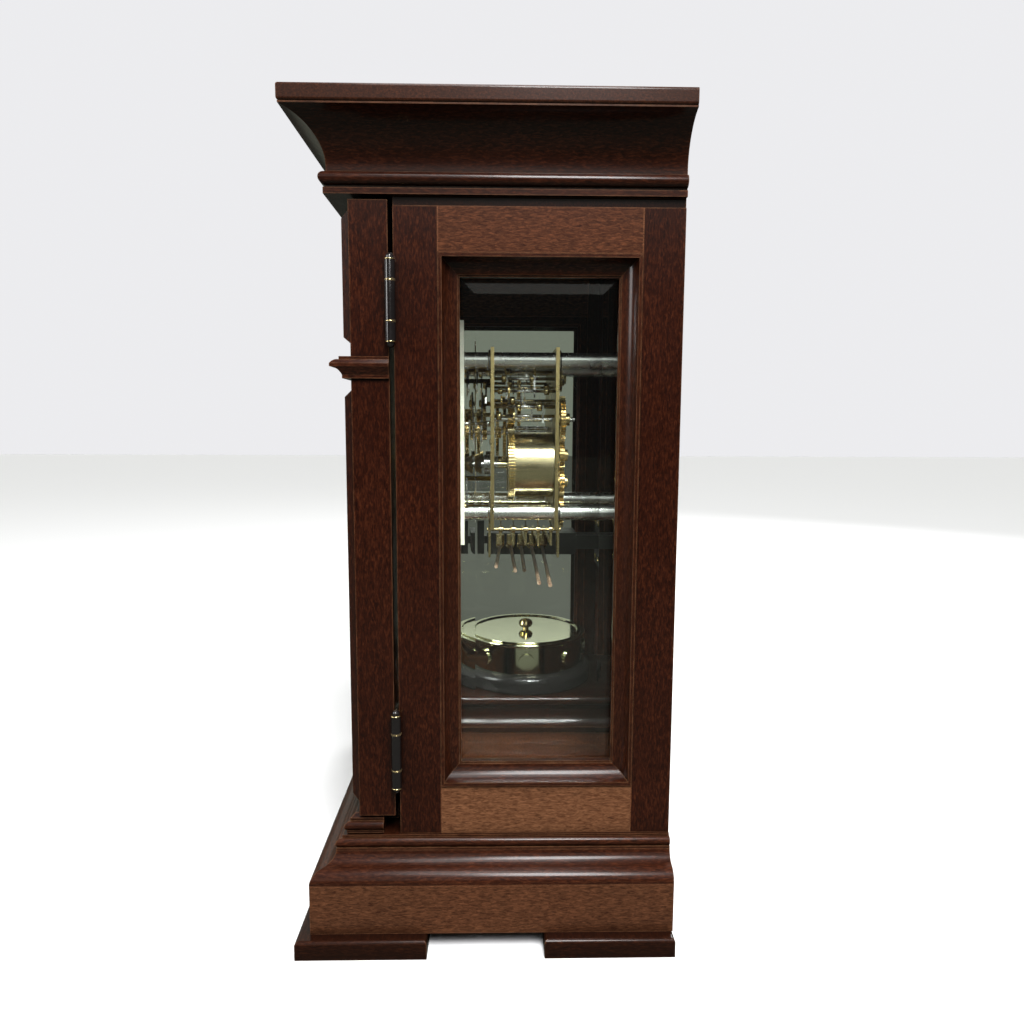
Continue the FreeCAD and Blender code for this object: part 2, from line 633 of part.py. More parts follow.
def train():
    """Every arbor's place (x, z) and tooth counts, worked out from the pitch circles."""
    module, barrel = S["tooth_module"].value, S["barrel_across"].value
    level, centre = S["barrel_level"].value, S["dial_centre"].value
    gears = {}

    def add(name, teeth, at, size=module, phase=0.0):
        gears[name] = {"teeth": teeth, "at": at, "module": size, "phase": phase}

    def mesh(name, teeth, other, towards, size=module, at=None):
        """Place a gear on the pitch circle of another and turn it into mesh."""
        mate = gears[other]
        reach = size * (teeth + mate["teeth"]) / 2
        spot = at or (mate["at"][0] + reach * math.cos(towards),
                      mate["at"][1] + reach * math.sin(towards))
        aim = math.atan2(spot[1] - mate["at"][1], spot[0] - mate["at"][0])
        share = ((aim - mate["phase"]) * mate["teeth"] / math.tau) % 1
        phase = aim + math.pi - (0.5 - share) * math.tau / teeth
        add(name, teeth, spot, size, phase)

    def crossing(first, reach_first, second, reach_second, side):
        """The point at two given distances from two arbors."""
        dx, dz = second[0] - first[0], second[1] - first[1]
        apart = math.hypot(dx, dz)
        along = (reach_first ** 2 - reach_second ** 2 + apart ** 2) / (2 * apart)
        rise = math.sqrt(reach_first ** 2 - along ** 2) * side
        return (first[0] + (dx * along - dz * rise) / apart,
                first[1] + (dz * along + dx * rise) / apart)

    def lean(across, reach):
        """The direction whose sideways part over a reach is given."""
        return math.pi / 2 - math.asin(across / reach)

    add("time_barrel", 70, (-barrel, level))
    second_at = crossing(gears["time_barrel"]["at"], module * 40, (0, centre), module * 35, 1)
    mesh("time_second_pinion", 10, "time_barrel", 0, at=second_at)
    phase = gears["time_second_pinion"]["phase"]
    add("time_second_wheel", 60, second_at, phase=phase)
    mesh("centre_pinion", 10, "time_second_wheel", 0, at=(0, centre))
    add("centre_wheel", 56, (0, centre), phase=gears["centre_pinion"]["phase"])
    mesh("third_pinion", 10, "centre_wheel", lean(2, module * 33))
    add("third_wheel", 50, gears["third_pinion"]["at"])
    motion = S["motion_module"].value
    mesh_reach = motion * 25
    minute_at = (-mesh_reach * math.sin(math.pi / 4), centre + mesh_reach * math.cos(math.pi / 4))
    cannon_module = mesh_reach * 2 / 48
    add("cannon_pinion", 12, (0, centre), cannon_module)
    mesh("minute_wheel", 36, "cannon_pinion", 0, cannon_module, at=minute_at)
    add("minute_pinion", 10, minute_at, motion)
    mesh("hour_wheel", 40, "minute_pinion", 0, motion, at=(0, centre))
    add("chime_barrel", 70, (barrel, level))
    mesh("chime_pinion", 24, "chime_barrel", lean(-8, module * 47))
    rear = S["rear_module"].value
    add("chime_drive", 40, gears["chime_pinion"]["at"], rear)
    mesh("chime_idler_upper", 24, "chime_drive", -math.pi / 2, rear)
    mesh("chime_idler_lower", 24, "chime_idler_upper", -math.pi / 2, rear)
    mesh("chime_drum_gear", 32, "chime_idler_lower", -math.pi / 2 - math.asin(7 / 21), rear)
    return gears


GEARS = train()


def toothed(name, front, thick):
    """A toothed disc along Y with straight-flanked teeth and some backlash."""
    gear = GEARS[name]
    pitch, size, teeth = gear["module"] * gear["teeth"] / 2, gear["module"], gear["teeth"]
    root, tip, step = pitch - 1.2 * size, pitch + 0.8 * size, math.tau / gear["teeth"]
    x, z = gear["at"]
    points = []
    for tooth in range(teeth):
        middle = gear["phase"] + tooth * step
        for radius, share in ((root, -0.3), (tip, -0.09), (tip, 0.09), (root, 0.3)):
            turn = middle + share * step
            points.append(FreeCAD.Vector(x + radius * math.cos(turn), front,
                                         z + radius * math.sin(turn)))
    face = Part.Face(Part.makePolygon(points + points[:1]))
    return face.extrude(FreeCAD.Vector(0, thick, 0))


def rod(name, radius, start, end):
    """A plain bar along Y on a named gear's arbor."""
    x, z = GEARS[name]["at"]
    return Part.makeCylinder(radius, end - start, FreeCAD.Vector(x, start, z),
                             FreeCAD.Vector(0, 1, 0))


def crossed(disc, name, inner, outer, front, thick, spokes=5):
    """A wheel lightened between its hub and rim, leaving spokes."""
    x, z = GEARS[name]["at"]
    ring = rod(name, outer, front - 1, front + thick + 1)
    ring = ring.cut(rod(name, inner, front - 2, front + thick + 2))
    arms = []
    for spoke in range(spokes):
        turn = spoke * math.tau / spokes
        arm = Part.makeBox(outer + 1, thick + 4, 1.8, FreeCAD.Vector(0, front - 2, -0.9))
        arm.rotate(FreeCAD.Vector(), FreeCAD.Vector(0, 1, 0), -math.degrees(turn))
        arm.translate(FreeCAD.Vector(x, 0, z))
        arms.append(arm)
    return disc.cut(ring.cut(arms))


def made(shape, name):
    """Keep a computed shape as a named sub-part."""
    feature = DOC.addObject("Part::Feature", "Made")
    feature.Shape = shape
    return node(feature, name)


def joined(*shapes):
    """One cleaned solid from overlapping shapes."""
    return shapes[0].multiFuse(list(shapes[1:])).removeSplitter()


def dial_and_hands():
    """Dial plate, chapter ring and both hands."""
    half, centre, back = S["dial_half"], S["dial_centre"], S["dial_back"]
    face = back - S["dial_thick"]
    plate = box((-half, half), (face, back), (centre - half, centre + half))
    bores = [cylinder(4.0, S["dial_thick"] + 2, (0, face - 1, centre), "+Y")]
    for side in (-1, 1):
        bores.append(cylinder(S["winding_round"] + 1.2, S["dial_thick"] + 2,
                              (S["barrel_across"] * side, face - 1, S["barrel_level"]), "+Y"))
    node(cut(plate, *bores), "dial_plate")
    ring = cut(cylinder(S["ring_outer"], S["ring_thick"], (0, face - S["ring_thick"], centre), "+Y"),
               cylinder(S["ring_inner"], S["ring_thick"] + 2,
                        (0, face - S["ring_thick"] - 1, centre), "+Y"))
    node(ring, "chapter_ring")
    thick = S["hand_thick"]
    for name, reach, width, hub, bore, front in (
            ("hour_hand", 36.0, 3.4, 5.0, 3.2, -21.4), ("minute_hand", 52.0, 2.8, 3.6, 1.5, -24.6)):
        blade = padded([(-width / 2, centre + hub * 0.6), (width / 2, centre + hub * 0.6),
                        (width * 0.32, centre + reach * 0.62), (width * 0.95, centre + reach * 0.7),
                        (0, centre + reach), (-width * 0.95, centre + reach * 0.7),
                        (-width * 0.32, centre + reach * 0.62)],
                       front, front + thick, "XZ_Plane")
        boss = cylinder(hub, thick + 0.8, (0, front, centre), "+Y")
        hole = cylinder(bore, 4, (0, front - 1, centre), "+Y")
        node(cut(fuse(blade, boss), hole), name)


def plates_and_pillars():
    """Movement plates, their bearing holes and the long polished pillars."""
    half, thick = S["plate_half"], S["plate_thick"]
    levels = (S["pillar_upper"], S["pillar_lower"])
    bars = [cylinder(S["pillar_round"], S["case_back"] - S["back_thick"] - S["dial_back"],
                     (S["pillar_across"] * side, S["dial_back"], level), "+Y")
            for level in levels for side in (-1, 1)]
    node(group(*bars), "mounting_pillars")
    play = S["pivot_play"].value
    arbor = S["arbor_round"].value
    wound = S["winding_round"].value
    through = {"time_barrel": wound, "chime_barrel": wound, "time_second_wheel": arbor,
               "centre_wheel": arbor, "third_wheel": arbor, "chime_pinion": arbor,
               "chime_drum_gear": arbor}
    idler_studs = ("chime_idler_upper", "chime_idler_lower")
    for name, middle in (("front_plate", S["front_plate"]), ("rear_plate", S["rear_plate"])):
        front = middle.value - thick.value / 2
        sheet_of_brass = Part.makeBox(2 * half.value, thick.value,
                                      S["plate_high"].value - S["plate_low"].value,
                                      FreeCAD.Vector(-half.value, front, S["plate_low"].value))
        holes = [rod(gear, radius + play, front - 1, front + thick.value + 1)
                 for gear, radius in through.items()]
        holes += [Part.makeCylinder(S["pillar_round"].value, thick.value + 2,
                                    FreeCAD.Vector(side * S["pillar_across"].value, front - 1,
                                                   level.value), FreeCAD.Vector(0, 1, 0))
                  for level in levels for side in (-1, 1)]
        solid = sheet_of_brass.cut(holes)
        if name == "front_plate":
            solid = joined(solid, rod("minute_wheel", arbor, -9.6, front + 0.1))
        else:
            studs = [rod(gear, arbor, front + 0.1, 54.0) for gear in idler_studs]
            solid = joined(solid, *studs, *balance_cock(front + thick.value))
            solid = solid.cut(Part.makeCylinder(0.6 + play, 20, BALANCE_AT,
                                                FreeCAD.Vector(0, 1, 0)))
        made(solid, name)


BALANCE_AT = FreeCAD.Vector(-2.0, 40.0, 323.0)


def balance_cock(face):
    """The post and arm that hold the balance staff's outer pivot."""
    x, z = BALANCE_AT.x, BALANCE_AT.z
    post = Part.makeBox(5, 9.0, 7, FreeCAD.Vector(x - 16, face - 0.1, z - 3.5))
    arm = Part.makeBox(16, 1.2, 4.4, FreeCAD.Vector(x - 14, face + 7.7, z - 2.2))
    eye = Part.makeCylinder(3.0, 1.2, FreeCAD.Vector(x, face + 7.7, z), FreeCAD.Vector(0, 1, 0))
    return post, arm, eye


def going_train():
    """Barrel, second wheel, centre arbor, third wheel and balance."""
    arbor, wheel = S["arbor_round"].value, S["wheel_thick"].value
    great, front = S["great_wheel_front"].value, S["barrel_front"].value
    rear, play = S["barrel_rear"].value, S["pivot_play"].value
    wound, meeting = S["winding_round"].value, S["winding_rear"].value
    nose, tail = S["pivot_front"].value, S["pivot_rear"].value
    for side in ("time", "chime"):
        name = side + "_barrel"
        drum = rod(name, S["barrel_round"].value, front, rear)
        ring = toothed(name, great, front - great)
        recess = rod(name, S["barrel_round"].value - 2, rear - 0.7, rear + 1)
        pivots = (rod(name, wound, meeting + 0.3, great + 0.1), rod(name, wound, rear - 0.8, tail))
        made(joined(joined(drum, ring).cut(recess), *pivots), name)
        shaft = rod(name, wound, -17.4, meeting)
        x, z = GEARS[name]["at"]
        square = Part.makeBox(3.2, 6, 3.2, FreeCAD.Vector(x - 1.6, -22.4, z - 1.6))
        taper = Part.makeCone(wound + 0.6, 6.6, 6.5, FreeCAD.Vector(x, -11.0, z),
                              FreeCAD.Vector(0, 1, 0))
        collar = rod(name, 6.6, -2.6, 1.2)
        made(joined(shaft, square, taper, collar), side + "_winding_arbor")

    pinion = toothed("time_second_pinion", great - 0.3, front - great + 0.2)
    disc = crossed(toothed("time_second_wheel", 5.0, wheel), "time_second_wheel", 5, 17, 5.0, wheel)
    made(joined(rod("time_second_wheel", arbor, nose, tail), pinion, disc), "time_second_wheel")

    pinion = toothed("centre_pinion", 4.6, 4.2)
    disc = crossed(toothed("centre_wheel", 10.0, wheel), "centre_wheel", 5, 15.8, 10.0, wheel)
    cannon = toothed("cannon_pinion", -4.6, 3.2)
    made(joined(rod("centre_wheel", arbor, -26.6, tail), pinion, disc, cannon), "centre_arbor")

    pinion = toothed("third_pinion", 9.0, 4.2)
    disc = crossed(toothed("third_wheel", 20.0, wheel), "third_wheel", 4, 13.8, 20.0, wheel)
    made(joined(rod("third_wheel", arbor, nose, tail), pinion, disc), "third_wheel")

    bore = arbor + play
    disc = toothed("minute_wheel", -4.2, 2.0)
    pinion = toothed("minute_pinion", -9.0, 5.0)
    made(joined(disc, pinion).cut(rod("minute_wheel", bore, -12, 0)), "minute_wheel")
    disc = toothed("hour_wheel", -8.2, 2.0)
    pipe = rod("hour_wheel", 3.2, -21.6, -6.2)
    made(joined(disc, pipe).cut(rod("hour_wheel", bore, -24, 0)), "hour_wheel")

    x, y, z = BALANCE_AT
    along = FreeCAD.Vector(0, 1, 0)
    round_ = S["balance_round"].value
    rim = Part.makeCylinder(round_, 1.4, FreeCAD.Vector(x, 50.0, z), along)
    rim = rim.cut(Part.makeCylinder(round_ - 1.4, 4, FreeCAD.Vector(x, 49.0, z), along))
    bar = Part.makeBox(2 * round_ - 1.6, 1.0, 1.6, FreeCAD.Vector(x - round_ + 0.8, 50.2, z - 0.8))
    staff = Part.makeCylinder(0.6, 11.0, FreeCAD.Vector(x, 44.2, z), along)
    hub = Part.makeCylinder(1.8, 2.6, FreeCAD.Vector(x, 49.4, z), along)
    made(joined(rim, bar, staff, hub), "balance_wheel")


def chime_train():
    """Pinion and drive gear, idlers behind the rear plate, and the pinned chime drum."""
    arbor, play = S["arbor_round"].value, S["pivot_play"].value
    great, front = S["great_wheel_front"].value, S["barrel_front"].value
    first, pitch = S["hammer_first"].value, S["hammer_pitch"].value
    gear_front, thick, nose = 48.0, 3.2, S["pivot_front"].value
    pinion = toothed("chime_pinion", great - 0.3, front - great + 0.2)
    drive = crossed(toothed("chime_drive", gear_front, thick), "chime_drive", 6, 12,
                    gear_front, thick)
    hub = rod("chime_drive", 4.2, gear_front - 1.2, gear_front + 6.6)
    made(joined(rod("chime_drive", arbor, nose, gear_front + 10), pinion, drive, hub),
         "chime_drive_wheel")
    for name in ("chime_idler_upper", "chime_idler_lower"):
        gear = toothed(name, gear_front, thick)
        hub = rod(name, 4.0, gear_front - 1.2, gear_front + 5.4)
        made(joined(gear, hub).cut(rod(name, arbor + play, 40, 60)), name)
    gear = toothed("chime_drum_gear", gear_front, thick)
    drum = rod("chime_drum_gear", 4.6, 4.6, 42.6)
    x, z = GEARS["chime_drum_gear"]["at"]
    pins = []
    for note in range(5):
        for pin in range(4):
            turn = math.tau * (pin / 4 + note / 20)
            away = FreeCAD.Vector(math.cos(turn), 0, math.sin(turn))
            start = FreeCAD.Vector(x, first + note * pitch, z) + away * 4.0
            pins.append(Part.makeCylinder(0.5, 1.8, start, away))
    made(joined(rod("chime_drum_gear", arbor, nose, gear_front + thick), gear, drum, *pins),
         "chime_drum")


def hammers_and_gong():
    """Five hammers on one rod, and the five chime rods in their cast block."""
    x, z = S["hammer_across"], S["hammer_level"]
    radius, play = S["hammer_rod_round"], S["pivot_play"]
    head_x, level = S["hammer_head"], S["rod_level"]
    for number in range(5):
        y = S["hammer_first"] + S["hammer_pitch"] * number
        hub = cylinder(2.4, 2.4, (x, y - 1.2, z), "+Y")
        drop = box((x - 1.6, x + 1.6), (y - 0.7, y + 0.7), (z - 10.6, z))
        arm = box((head_x, x), (y - 0.7, y + 0.7), (z - 10.6, z - 8.4))
        stem = cylinder(1.0, z - 10.0 - (level + 4.4), (head_x, y, level + 4.4))
        head = cylinder(3.3, 7.4, (head_x, y, level + 4.2))
        hole = cylinder(radius + play, 6, (x, y - 3, z), "+Y")
        node(cut(fuse(hub, drop, arm, stem, head), hole), "hammer_%d" % (number + 1))
    front = S["front_plate"] - S["plate_thick"] / 2
    rear = S["rear_plate"] + S["plate_thick"] / 2
    ears = []
    for low, high in ((front - 1.4, front), (rear, rear + 1.4)):
        ears.append(box((x - 5, x + 5), (low, high), (z - 18, z + 5.6)))
    rail = cylinder(radius, rear + 2.6 - (front - 2.6), (x, front - 2.6, z), "+Y")
    node(fuse(rail, *ears), "hammer_frame")

    face, wide = S["block_face"], S["block_wide"]
    outline = [(-1.9, 191.2), (1.7, 187.7, 3.6), (66.0, 187.7), (69.5, 191.2, 3.6),
               (69.5, 205.0), (-1.9, 205.0)]
    block = padded(outline, face - wide, face, "YZ_Plane")
    board = S["case_back"] - S["back_thick"]
    arm = box((face - 27, face - 7), (66, board), (191, 202))
    flange = box((face - 34, face), (board - 4, board), (176, 217))
    lug = box((face - 9, face), (-9.8, -4.3), (188, 215))
    bridge = box((face - 9, face - 3), (-9.8, 2), (196, 202))
    node(fuse(block, arm, flange, lug, bridge), "chime_block")
    bars = []
    face, level, radius = face.value, level.value, S["rod_round"].value
    for number, (reach, bend) in enumerate(GONG_RODS):
        y = S["hammer_first"].value + S["hammer_pitch"].value * number
        root = FreeCAD.Vector(face, y, level)
        along = FreeCAD.Vector(reach - face, bend, 0)
        bars.append(joined(Part.makeCylinder(radius, along.Length, root, along),
                           Part.makeCone(2.2, radius, 7, root, FreeCAD.Vector(1, 0, 0))))
    made(Part.makeCompound(bars), "chime_rods")


# Each chime rod's free end (x) and how far it leans sideways there.
GONG_RODS = ((34, -3.0), (49, 1.3), (47, -0.9), (88, -1.7), (94, -3.6))


def keepsake_box():
    """Turned foot, studded bowl and lift-off lid with its knob."""
    at = (0, S["box_centre"])
    shelf, low, high = S["shelf_high"], S["box_low"], S["box_high"]
    foot_round, round_ = S["box_foot_round"], S["box_round"]
    wall = S["box_wall"]
    rise = low - shelf
    foot = [(0, 0), (foot_round - 1.5, 0), (foot_round, 1.5, 1.5), (foot_round, rise - 4.5),
            (foot_round - 4.5, rise, 4.5), (0, rise)]
    node(turned(foot, (at[0], at[1], shelf)), "box_foot")
    tall = high - low
    bowl = [(0, 0), (round_ - 1, 0), (round_, 1, 1), (round_, tall), (round_ - wall, tall),
            (round_ - wall, wall), (0, wall)]
    bowl_body = turned(bowl, (at[0], at[1], low))
    studs = []
    for number in range(8):
        stud = DOC.addObject("Part::Cylinder", "Stud")
        bind(stud, "Radius", S["stud_round"])
        bind(stud, "Height", 3.0)
        spin = 45 * number - 1
        turn = FreeCAD.Rotation(FreeCAD.Vector(0, 0, 1), spin)
        lie = FreeCAD.Rotation(FreeCAD.Vector(0, 1, 0), 90)
        away = turn.multVec(FreeCAD.Vector(1, 0, 0))
        stud.Placement = FreeCAD.Placement(FreeCAD.Vector(), turn.multiply(lie))
        reach = round_ - 1.0
        bind(stud, "Placement.Base.x", reach * away.x)
        bind(stud, "Placement.Base.y", at[1] + reach * away.y)
        bind(stud, "Placement.Base.z", low + tall / 2)
        studs.append(stud)
    node(fuse(bowl_body, *studs), "box_bowl")
    lid = [(0, 0), (round_ - wall - 0.4, 0), (round_ - wall - 0.4, 2.6), (round_ - 1, 2.6),
           (round_ + 1.4, 2.6), (round_ + 1.4, 5.0, 1.3), (round_ - 0.8, 5.0),
           (round_ - 0.8, 6.0, 0.6), (round_ - 3.4, 6.0), (round_ - 4.2, 5.0), (0, 5.0)]
    node(turned(lid, (at[0], at[1], high - 2.3)), "box_lid")
    knob = [(0, 0), (2.2, 0), (2.2, 1.2), (4.2, 2.0), (5.2, 4.0), (4.4, 6.2), (2.0, 7.6), (0, 7.8)]
    node(turned(knob, (at[0], at[1], high + 2.7)), "box_knob")


def write_parts():
    """Check every object and write each sub-part to its own file."""
    DOC.recompute()
    faults = [o.Name + " " + ",".join(o.State) for o in DOC.Objects
              if "Invalid" in o.State or "Error" in o.State]
    for part in NODES:
        if part.Shape.isNull() or not part.Shape.isValid():
            faults.append("bad shape " + part.Label)
    if faults:
        raise SystemExit("\n".join(faults))
    os.makedirs("parts", exist_ok=True)
    for part in NODES:
        part.Shape.exportStep("parts/%s.step" % part.Label)
    print(len(NODES), "sub-parts written")


for maker in (top_and_crown, side_walls, case_inside, base_and_feet, door, catch_and_hinges,
              dial_and_hands, plates_and_pillars, going_train, chime_train, hammers_and_gong,
              keepsake_box):
    maker()
write_parts()
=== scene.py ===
"""Looks of the glazed mantel clock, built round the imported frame. Metres, +Z up.

Outlines, profiles, wire points and the tables of small parts are in millimetres, and MM
turns them into metres as they are built.
"""
import json
import math

import bmesh
import bpy
from mathutils import Matrix, Vector

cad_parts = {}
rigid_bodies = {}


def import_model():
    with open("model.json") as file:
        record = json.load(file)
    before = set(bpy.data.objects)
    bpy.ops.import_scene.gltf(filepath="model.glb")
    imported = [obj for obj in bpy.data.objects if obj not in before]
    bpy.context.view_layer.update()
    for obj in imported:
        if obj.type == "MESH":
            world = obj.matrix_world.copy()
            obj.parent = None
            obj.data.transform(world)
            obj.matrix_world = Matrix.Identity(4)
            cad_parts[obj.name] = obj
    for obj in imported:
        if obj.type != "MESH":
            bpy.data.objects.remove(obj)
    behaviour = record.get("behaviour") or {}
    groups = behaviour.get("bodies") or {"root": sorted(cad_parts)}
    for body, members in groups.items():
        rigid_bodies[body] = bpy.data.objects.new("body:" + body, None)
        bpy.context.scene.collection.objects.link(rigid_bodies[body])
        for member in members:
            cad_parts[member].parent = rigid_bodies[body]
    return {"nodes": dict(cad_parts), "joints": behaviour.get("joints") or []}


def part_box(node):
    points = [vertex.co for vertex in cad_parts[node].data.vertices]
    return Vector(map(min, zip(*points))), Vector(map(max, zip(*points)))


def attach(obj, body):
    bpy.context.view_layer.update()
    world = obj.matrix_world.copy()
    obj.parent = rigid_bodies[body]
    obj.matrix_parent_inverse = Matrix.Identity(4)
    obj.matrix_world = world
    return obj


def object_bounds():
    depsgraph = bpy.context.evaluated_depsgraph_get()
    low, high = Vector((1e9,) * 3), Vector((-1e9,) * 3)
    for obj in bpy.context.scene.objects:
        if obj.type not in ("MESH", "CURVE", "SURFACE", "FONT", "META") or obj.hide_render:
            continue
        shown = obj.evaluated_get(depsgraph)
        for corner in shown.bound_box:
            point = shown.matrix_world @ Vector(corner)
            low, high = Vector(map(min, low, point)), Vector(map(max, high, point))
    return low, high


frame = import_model()
CAD_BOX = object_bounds()
NODES = frame["nodes"]
WINDING = next(Vector(joint["pos_m"]) for joint in frame["joints"]
               if joint["child"] == "chime_winding_arbor")
MM = 0.001
UP = Vector((0, 0, 1))
ALONG_Y = Vector((0, 1, 0))
SUNK = -0.1  # a turned piece starts this far inside the surface that it stands on
PLATE_THICK = 2.2  # each movement plate
HAMMERS = range(1, 6)

# Soft lamps: name, place, aim, (width, height) and watts.
LAMPS = (
    ("window_key", (0.84, 0.12, 1.08), (0, 0.03, 0.26), (0.24, 0.5), 12.0),
    ("overhead", (0.30, 0.0, 1.1), (0.15, 0, 0), (0.35, 0.9), 5.0),
    ("front_fill", (0.6, -1.3, 0.9), (0, 0, 0.22), (0.5, 0.9), 14.0),
    ("rear_fill", (-1.2, 0.9, 1.0), (0, 0, 0.2), (0.5, 0.9), 16.0),
)
LINKED_LAMP = ("movement_glint", (0.80, 0.04, 0.60), (0.05, 0.03, 0.28), (0.30, 0.16), 2.6)
UNLIT_BY_IT = ("wood_", "bare_edge", "window_glass", "pale_floor")


# ---------------------------------------------------------------- camera, light and stage
def make_camera():
    """A camera to the clock's right, a little above the middle, looking slightly down."""
    place = Vector((0.554, 0.0055, 0.294))
    yaw, pitch, roll = 0.0202, 0.1172, 0.0041
    forward = Vector((-math.cos(yaw) * math.cos(pitch), math.sin(yaw) * math.cos(pitch),
                      -math.sin(pitch)))
    right = forward.cross(UP).normalized()
    up = right.cross(forward)
    turned_right = right * math.cos(roll) + up * math.sin(roll)
    turned_up = up * math.cos(roll) - right * math.sin(roll)
    data = bpy.data.cameras.new("Camera")
    data.lens = 27.24
    data.sensor_width = 36.0
    data.clip_start = 0.01
    camera = bpy.data.objects.new("Camera", data)
    axes = Matrix((turned_right, turned_up, -forward)).transposed().to_4x4()
    camera.matrix_world = Matrix.Translation(place) @ axes
    bpy.context.scene.collection.objects.link(camera)
    bpy.context.scene.camera = camera


def area_light(name, place, target, size, power):
    """A soft rectangular white light aimed at a point."""
    data = bpy.data.lights.new(name, "AREA")
    data.shape = "RECTANGLE"
    data.size, data.size_y = size
    data.energy = power
    light = bpy.data.objects.new(name, data)
    aim = (Vector(target) - Vector(place)).to_track_quat("-Z", "Y")
    light.matrix_world = Matrix.Translation(place) @ aim.to_matrix().to_4x4()
    bpy.context.scene.collection.objects.link(light)
    return light


def make_stage():
    """Pale floor, pale surroundings and soft studio light."""
    mesh = bpy.data.meshes.new("floor")
    reach = 6.0
    mesh.from_pydata([(-reach, -reach, 0), (reach, -reach, 0), (reach, reach, 0),
                      (-reach, reach, 0)], [], [(0, 1, 2, 3)])
    floor = bpy.data.objects.new("floor", mesh)
    bpy.context.scene.collection.objects.link(floor)
    mesh.materials.append(floor_paint())
    make_world()
    sun = bpy.data.lights.new("daylight", "SUN")
    sun.energy = 3.3
    sun.angle = math.radians(38)
    daylight = bpy.data.objects.new("daylight", sun)
    daylight.rotation_euler = Vector((0.62, 0.30, 1.0)).to_track_quat("Z", "Y").to_euler()
    daylight.visible_glossy = False
    bpy.context.scene.collection.objects.link(daylight)
    for lamp in LAMPS:
        area_light(*lamp)


def camera_sees(tree, seen, other, output):
    """Show one shader to the camera and the other to all other rays."""
    path = tree.nodes.new("ShaderNodeLightPath")
    chosen = tree.nodes.new("ShaderNodeMixShader")
    tree.links.new(path.outputs["Is Camera Ray"], chosen.inputs[0])
    tree.links.new(other.outputs[0], chosen.inputs[1])
    tree.links.new(seen.outputs[0], chosen.inputs[2])
    tree.links.new(chosen.outputs[0], tree.nodes[output].inputs["Surface"])
    return path


def fill_ramp(node, stops):
    """Give a colour ramp its (position, colour) stops."""
    marks = node.color_ramp.elements
    while len(marks) < len(stops):
        marks.new(0.5)
    for mark, (position, colour) in zip(marks, stops):
        mark.position = position
        mark.color = (*colour, 1)


def floor_paint():
    """A floor that is pale to the camera and dim to the light that falls on the object."""
    paint = bpy.data.materials.new("pale_floor")
    paint.use_nodes = True
    tree = paint.node_tree
    seen = tree.nodes["Principled BSDF"]
    seen.inputs["Base Color"].default_value = (0.88, 0.88, 0.89, 1)
    seen.inputs["Roughness"].default_value = 0.6
    dim = tree.nodes.new("ShaderNodeBsdfDiffuse")
    dim.inputs["Color"].default_value = (0.078, 0.081, 0.068, 1)
    camera_sees(tree, seen, dim, "Material Output")
    return paint


def make_world():
    """Pale surroundings to look at, and a dim room for the object to reflect."""
    world = bpy.data.worlds.new("studio")
    world.use_nodes = True
    tree = world.node_tree
    seen = tree.nodes["Background"]
    seen.inputs["Color"].default_value = (0.84, 0.84, 0.86, 1)
    room = tree.nodes.new("ShaderNodeBackground")
    where = tree.nodes.new("ShaderNodeTexCoord")
    split = tree.nodes.new("ShaderNodeSeparateXYZ")
    tree.links.new(where.outputs["Generated"], split.inputs[0])
    fade = tree.nodes.new("ShaderNodeValToRGB")
    spread = tree.nodes.new("ShaderNodeMapRange")
    spread.inputs["From Min"].default_value = -1.0
    tree.links.new(split.outputs[0], spread.inputs["Value"])
    tree.links.new(spread.outputs[0], fade.inputs[0])
    fill_ramp(fade, ((0.10, (0.21, 0.225, 0.18)), (0.55, (0.045, 0.045, 0.042))))
    path = camera_sees(tree, seen, room, "World Output")
    tree.links.new(high_windows(tree, split.outputs[2], fade.outputs[0],
                                path.outputs["Is Glossy Ray"]), room.inputs["Color"])
    bpy.context.scene.world = world
    bpy.context.scene.view_settings.view_transform = "Standard"


def high_windows(tree, height, room, glossy):
    """The room's colour with a brighter band well above eye level, seen only in polish."""
    band = tree.nodes.new("ShaderNodeValToRGB")
    fill_ramp(band, ((0.22, (0, 0, 0)), (0.30, (0.75, 0.76, 0.70)), (0.62, (0.30, 0.30, 0.28)),
                     (0.75, (0, 0, 0))))
    tree.links.new(height, band.inputs[0])
    lit = tree.nodes.new("ShaderNodeMix")
    lit.data_type = "RGBA"
    lit.blend_type = "ADD"
    tree.links.new(glossy, lit.inputs[0])
    tree.links.new(room, lit.inputs[6])
    tree.links.new(band.outputs[0], lit.inputs[7])
    return lit.outputs[2]


